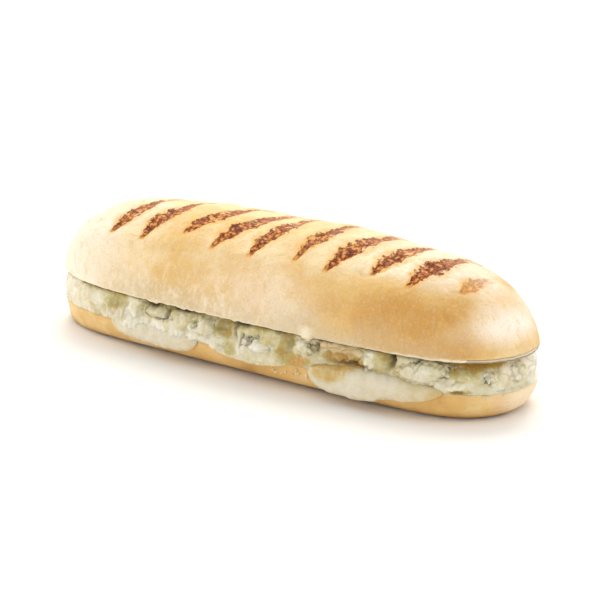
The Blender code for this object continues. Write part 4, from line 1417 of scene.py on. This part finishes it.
@dataclass
class CheeseLump(GridPiece):
    """A lump of blue cheese held in the slit, half sunk in the melted layer.

    Attributes:
        loaf: The roll's shape.
        x: Place along the roll.
        side: The side that it shows on.
        inset: Its middle's distance in from the outline.
        z: Height of its middle.
        half_length: Half its length along the roll.
        half_depth: Half its depth.
        half_height: Half its height.
        mould: How much of it is veined, 0 to 1.
        tone: Its place in the colour ramp.
        seed: Seed of its form.
    """

    slot: ClassVar[str] = "blue_cheese"
    cap: ClassVar[EndCap] = EndCap.POINT
    loaf: Loaf
    x: float
    side: Side
    inset: float
    z: float
    half_length: float
    half_depth: float
    half_height: float
    mould: float
    tone: float
    seed: int
    rows: int = 96
    columns: int = 128
    roughness: float = 0.16
    chunk_size: float = 0.0034
    vein_pitch: float = 0.0046
    groove: float = 0.00034
    grain: float = 0.0004

    def surface(self) -> Surface:
        """Points and painted values: a noisy ellipsoid, pressed between floor and ceiling.

        Chunks come from the second cell distance less the first, which dips along their seams,
        and veins are dents where a noise field crosses nought. Towards the melted layer the
        colours turn into its own.

        Returns:
            The grid and its fields.
        """
        loaf = self.loaf
        angle = float(loaf.angle_at(self.x, self.side))
        x, y = loaf.outline(angle, 1.0)
        ahead = np.array(loaf.outline(angle + 0.01, 1.0)) - np.array(loaf.outline(angle - 0.01, 1.0))
        run = unit(ahead)
        inward = np.array((-run[1], run[0]))
        sphere = np.roll(unit_sphere(self.rows, self.columns), 1, axis=-1)
        rough = 1.0 + self.roughness * soft_noise(sphere, 1.5, self.seed)
        rough += 0.5 * self.roughness * soft_noise(sphere, 0.8, self.seed + 1)
        body = sphere * (self.half_length, self.half_depth, self.half_height)
        shifted = body + 0.0006 * soft_noise(body, 0.004, 7)[..., None]
        first, second = cell_noise(shifted, self.chunk_size, self.seed + 2)
        seam = smoothstep(second - first, 0.34, 0.02)
        ridge = np.abs(gradient_noise(body, self.vein_pitch, self.seed + 3))
        clouds = gradient_noise(body, 0.008, self.seed + 4)
        region = smoothstep(clouds, 0.4 - 0.8 * self.mould, 0.7 - 0.6 * self.mould)
        vein = smoothstep(ridge, 0.20, 0.02) * region
        relief = self.grain * rough_noise(body, 0.0022, self.seed + 5, 4) - self.groove * (seam + vein)
        local = body * rough[..., None] + relief[..., None] * sphere
        plan = np.array((x, y)) + self.inset * inward + local[..., :1] * run + local[..., 1:2] * inward
        low, high = loaf.floor(plan[..., 0]), loaf.ceiling(plan[..., 0])
        z = np.clip(self.z + local[..., 2], low + 0.0002, high + 0.0002)
        warp = 0.35 * rough_noise(body, 0.0030, self.seed + 7)
        level = (z - low) / (high - low) + 0.1 * warp
        depth, gap = pulled(plan[..., 0] + 0.0030 * warp, plan[..., 1], level, HOLLOWS[SOLID_HOLLOWS:])
        plan = plan + depth[..., None] * inward
        proud = smoothstep(-self.inset - local[..., 1], -0.0004, 0.0012)
        mottle = rough_noise(body, 0.0030, self.seed + 6)
        tone = self.tone + 0.16 * mottle + 0.25 * (1.0 - proud)
        stain = np.clip(vein * (0.45 + 0.5 * region) + 0.20 * seam * region + 0.25 * region, 0.0, 1.0)
        # Painted shade in the sunk seams and in the hollows' gaps
        dark = np.maximum(0.25 * seam * (1.0 - proud), 0.85 * gap)
        fields = {"vein": stain, "tone": tone, "dark": dark, "warm": 0 * tone}
        return np.concatenate([plan, z[..., None]], axis=-1), fields


@dataclass
class Filling:
    """Everything between the halves."""

    loaf: Loaf

    def slices(self) -> dict[str, DrapedCheese]:
        """The mozzarella slices, by the name of the node that each stands for."""
        rows = {
            "left": (-0.0475, FRONT, 0.025, 0.0056, -0.2, 0.022, 0.0024, 31),
            "right": (0.0668, FRONT, 0.031, 0.0062, 0.45, 0.026, 0.0038, 32, (0.047, 0.0115), 0.28),
            "back": (0.016, BACK, 0.036, 0.0062, 0.0, 0.022, 0.0026, 33, (0.03, 0.014)),
        }
        return {f"mozzarella_{place}": DrapedCheese(self.loaf, *row) for place, row in rows.items()}

    def lumps(self) -> list[CheeseLump]:
        """The blue cheese lumps, in the order of their nodes."""
        places = (
            (-0.0445, FRONT, 0.0068, 0.0204, 0.0112, 0.0085, 0.0062, 0.8, 0.42),
            (-0.02, FRONT, 0.0064, 0.0198, 0.0094, 0.008, 0.0062, 0.4, 0.28),
            (0.0105, FRONT, 0.0058, 0.019, 0.012, 0.0082, 0.0062, 0.55, 0.2),
            (0.034, FRONT, 0.004, 0.0212, 0.0054, 0.0054, 0.0046, 0.1, 0.3),
            (0.0885, FRONT, 0.0062, 0.0206, 0.0132, 0.0085, 0.006, 0.75, 0.26),
            (0.114, FRONT, 0.0038, 0.0184, 0.004, 0.004, 0.0038, 0.85, 0.1),
            (0.1207, FRONT, 0.0066, 0.0198, 0.005, 0.0056, 0.0054, 0.2, 0.05),
            (-0.082, BACK, 0.0068, 0.0198, 0.0108, 0.008, 0.006, 0.5, 0.25),
            (-0.033, BACK, 0.0062, 0.0194, 0.0094, 0.008, 0.0062, 0.7, 0.3),
            (0.076, BACK, 0.0068, 0.02, 0.0118, 0.0084, 0.006, 0.45, 0.2),
        )
        return [CheeseLump(self.loaf, *row, seed=50 + number) for number, row in enumerate(places, start=1)]

    def build(self, melt: Material, milk: Material, blue: Material) -> None:
        """Makes the whole filling.

        Args:
            melt: Finish of the melted layer.
            milk: Finish of the mozzarella.
            blue: Finish of the blue cheese.
        """
        MeltLayer(self.loaf).build("melted_cheese_layer", "melted_cheese", melt)
        for name, draped in self.slices().items():
            draped.build(name + "_slice", name, milk)
        for number, lump in enumerate(self.lumps(), start=1):
            lump.build(f"blue_cheese_lump_{number}", f"blue_cheese_{number}", blue)


@dataclass
class Crumbs:
    """Crumbs of one kind that stuck to the lower half, scattered by seeded draws.

    Attributes:
        loaf: The roll's shape.
        patches: For each patch its middle along the roll, half length, least and greatest
            distance below the rim, and number of crumbs.
        radius: Smallest and largest radius.
        seed: Seed of the draws.
    """

    loaf: Loaf
    patches: tuple[tuple[float, float, float, float, int], ...]
    radius: tuple[float, float]
    seed: int
    rows: int = 13
    columns: int = 18
    front_share: float = 0.8
    sunk: float = 0.35
    lumpiness: float = 0.28

    def build(self, name: str, finish: Material, slot: str) -> Piece:
        """Makes the crumbs as one piece: noisy balls, sunk a little into the wall.

        Args:
            name: The piece's name.
            finish: Their finish.
            slot: The record's material slot.

        Returns:
            The piece.
        """
        rng = np.random.default_rng(self.seed)
        sphere = unit_sphere(self.rows, self.columns)
        used, faces = grid_triangles(sphere, EndCap.POINT)
        ball = sphere.reshape(-1, 3)[used]
        points, corners = [], []
        for middle, half, least, most, count in self.patches:
            for _ in range(count):
                at = middle + half * rng.uniform(-1.0, 1.0)
                size = self.radius[0] + (self.radius[1] - self.radius[0]) * rng.beta(1.4, 3.0)
                angle = self.loaf.angle_at(np.array(at), FRONT if rng.random() < self.front_share else BACK)
                below = np.array(rng.uniform(least, most))
                reach, z = self.loaf.over_rim(below, np.array(self.sunk * size), angle)
                x, y = self.loaf.outline(angle, reach)
                lumpy = 1.0 + self.lumpiness * soft_noise(ball, 1.1, int(rng.integers(1, 9999)))
                shape = ball * lumpy[:, None] * rng.uniform(0.6, 1.2, size=3) * size
                corners.append(faces + sum(len(part) for part in points))
                points.append(shape + np.array((float(x), float(y), float(z))))
        mesh_points = np.concatenate(points)
        values = {"tone": 0.2, "crumb": 0.7, "toast": 0.3, "vein": 0.0, "dark": 0.0}
        fields = {label: np.full(len(mesh_points), value) for label, value in values.items()}
        piece = triangle_mesh(name, mesh_points, np.concatenate(corners), fields)
        show(piece, finish, slot)
        return piece


BREAD_CRUMBS = Crumbs(LOAF, ((0.030, 0.006, 0.001, 0.004, 16), (0.016, 0.008, 0.002, 0.005, 8)),
                      (0.0003, 0.0010), 301)
CHEESE_CRUMBS = Crumbs(LOAF, ((0.1155, 0.004, -0.002, 0.0010, 6), (0.017, 0.006, 0.001, 0.005, 6)),
                       (0.0004, 0.0009), 302)


@dataclass
class Studio:
    """Floor, soft lights and the camera at the photographed angle."""

    azimuth: float = 35.66
    elevation: float = 18.0
    roll: float = 0.365
    distance: float = 1.0
    focal_px: float = 2288.0
    centre_px: tuple[float, float] = (290.2, 298.2)
    target: tuple[float, float, float] = (0.0, 0.0, 0.027)
    floor_half: float = 3.0
    room_light: float = 0.78
    lamps: tuple[tuple[str, Sequence[float], float, float, str], ...] = (
        ("key_softbox", (-0.28, 0.62, 0.95), 0.9, 10.6, "#FFFBF4"),
        ("right_softbox", (0.90, 0.30, 0.50), 0.5, 2.0, "#FFFAF2"),
        ("left_softbox", (-0.95, -0.25, 0.45), 0.5, 2.6, "#FFFAF2"),
        ("front_fill", (0.05, -1.05, 0.22), 0.8, 2.0, "#FFF8EE"),
    )

    def build(self) -> None:
        """Makes the floor, lights, surroundings and camera."""
        self._floor()
        self._surroundings()
        for lamp in self.lamps:
            self._lamp(*lamp)
        self._camera()

    def _floor(self) -> None:
        """A level sheet of paper just under the panini, of two triangles."""
        corners = self.floor_half * np.array([(-1, -1, 0.0), (1, -1, 0.0), (1, 1, 0.0), (-1, 1, 0.0)])
        sheet = triangle_mesh("floor", corners - (0.0, 0.0, 0.0001), np.array([(0, 1, 2), (0, 2, 3)]), {})
        sheet.data.materials.append(StudioPaper().build())

    def _surroundings(self) -> None:
        """Even white light from all round."""
        world = bpy.data.worlds.new("white_room")
        world.use_nodes = True
        background = world.node_tree.nodes["Background"]
        background.inputs["Color"].default_value = linear("#FFFFFF")
        background.inputs["Strength"].default_value = self.room_light
        bpy.context.scene.world = world
        bpy.context.scene.view_settings.view_transform = "Standard"
        bpy.context.scene.view_settings.look = "None"

    def _lamp(self, name: str, place: Sequence[float], side: float, power: float, tint: str) -> None:
        """A square softbox that faces the panini.

        Args:
            name: Its name.
            place: Where it stands.
            side: Its side length.
            power: Its power in watts.
            tint: Its colour.
        """
        light = bpy.data.lights.new(name, "AREA")
        light.shape = "SQUARE"
        light.size = side
        light.energy = power
        light.color = linear(tint)[:3]
        lamp = place_object(name, light)
        away = unit(np.array(place) - np.array(self.target))
        right = unit(np.cross((0.0, 0.0, 1.0), away))
        lamp.matrix_world = self._placed(right, np.cross(away, right), away, np.array(place))

    @staticmethod
    def _placed(right: Array, up: Array, back: Array, place: Array) -> Matrix:
        """The matrix of an object with those axes at that place."""
        rows = np.eye(4)
        rows[:3, 0], rows[:3, 1], rows[:3, 2], rows[:3, 3] = right, up, back, place
        return Matrix(rows.tolist())

    def _camera(self) -> None:
        """The camera, whose axes come from its azimuth, elevation and roll."""
        turn, tilt, roll = (math.radians(value) for value in (self.azimuth, self.elevation, self.roll))
        back = np.array((math.sin(turn) * math.cos(tilt), -math.cos(turn) * math.cos(tilt), math.sin(tilt)))
        level = np.array((math.cos(turn), math.sin(turn), 0.0))
        up = np.cross(back, level)
        right = math.cos(roll) * level + math.sin(roll) * up
        top = -math.sin(roll) * level + math.cos(roll) * up
        lens = bpy.data.cameras.new("camera")
        lens.sensor_fit = "HORIZONTAL"
        lens.sensor_width = 36.0
        lens.lens = self.focal_px / IMAGE_SIDE_PX * lens.sensor_width
        lens.shift_x = (IMAGE_SIDE_PX / 2 - self.centre_px[0]) / IMAGE_SIDE_PX
        lens.shift_y = (self.centre_px[1] - IMAGE_SIDE_PX / 2) / IMAGE_SIDE_PX
        lens.clip_start = 0.01
        camera = place_object("camera", lens)
        camera.matrix_world = self._placed(right, top, back, np.array(self.target) + self.distance * back)
        bpy.context.scene.camera = camera


def main() -> None:
    """Builds the panini piece by piece, then the studio round it."""
    logging.basicConfig(level=logging.INFO, format="%(name)s: %(message)s")
    toasted, baked, melt = ToastedBase().build(), BakedCrust().build(), MELTED_BLEND.build()
    RollBottom(LOAF).build("roll_bottom_crust", "roll_bottom", toasted)
    RollTop(LOAF).build("roll_top_crust", "roll_top", baked)
    Filling(LOAF).build(melt, SOFT_MOZZARELLA.build(), BLUE_CHEESE.build())
    BREAD_CRUMBS.build("golden_bread_crumbs", toasted, "crust_bottom")
    CHEESE_CRUMBS.build("cheese_crumbs", melt, "melt")
    Studio().build()


if __name__ == "__main__":
    main()
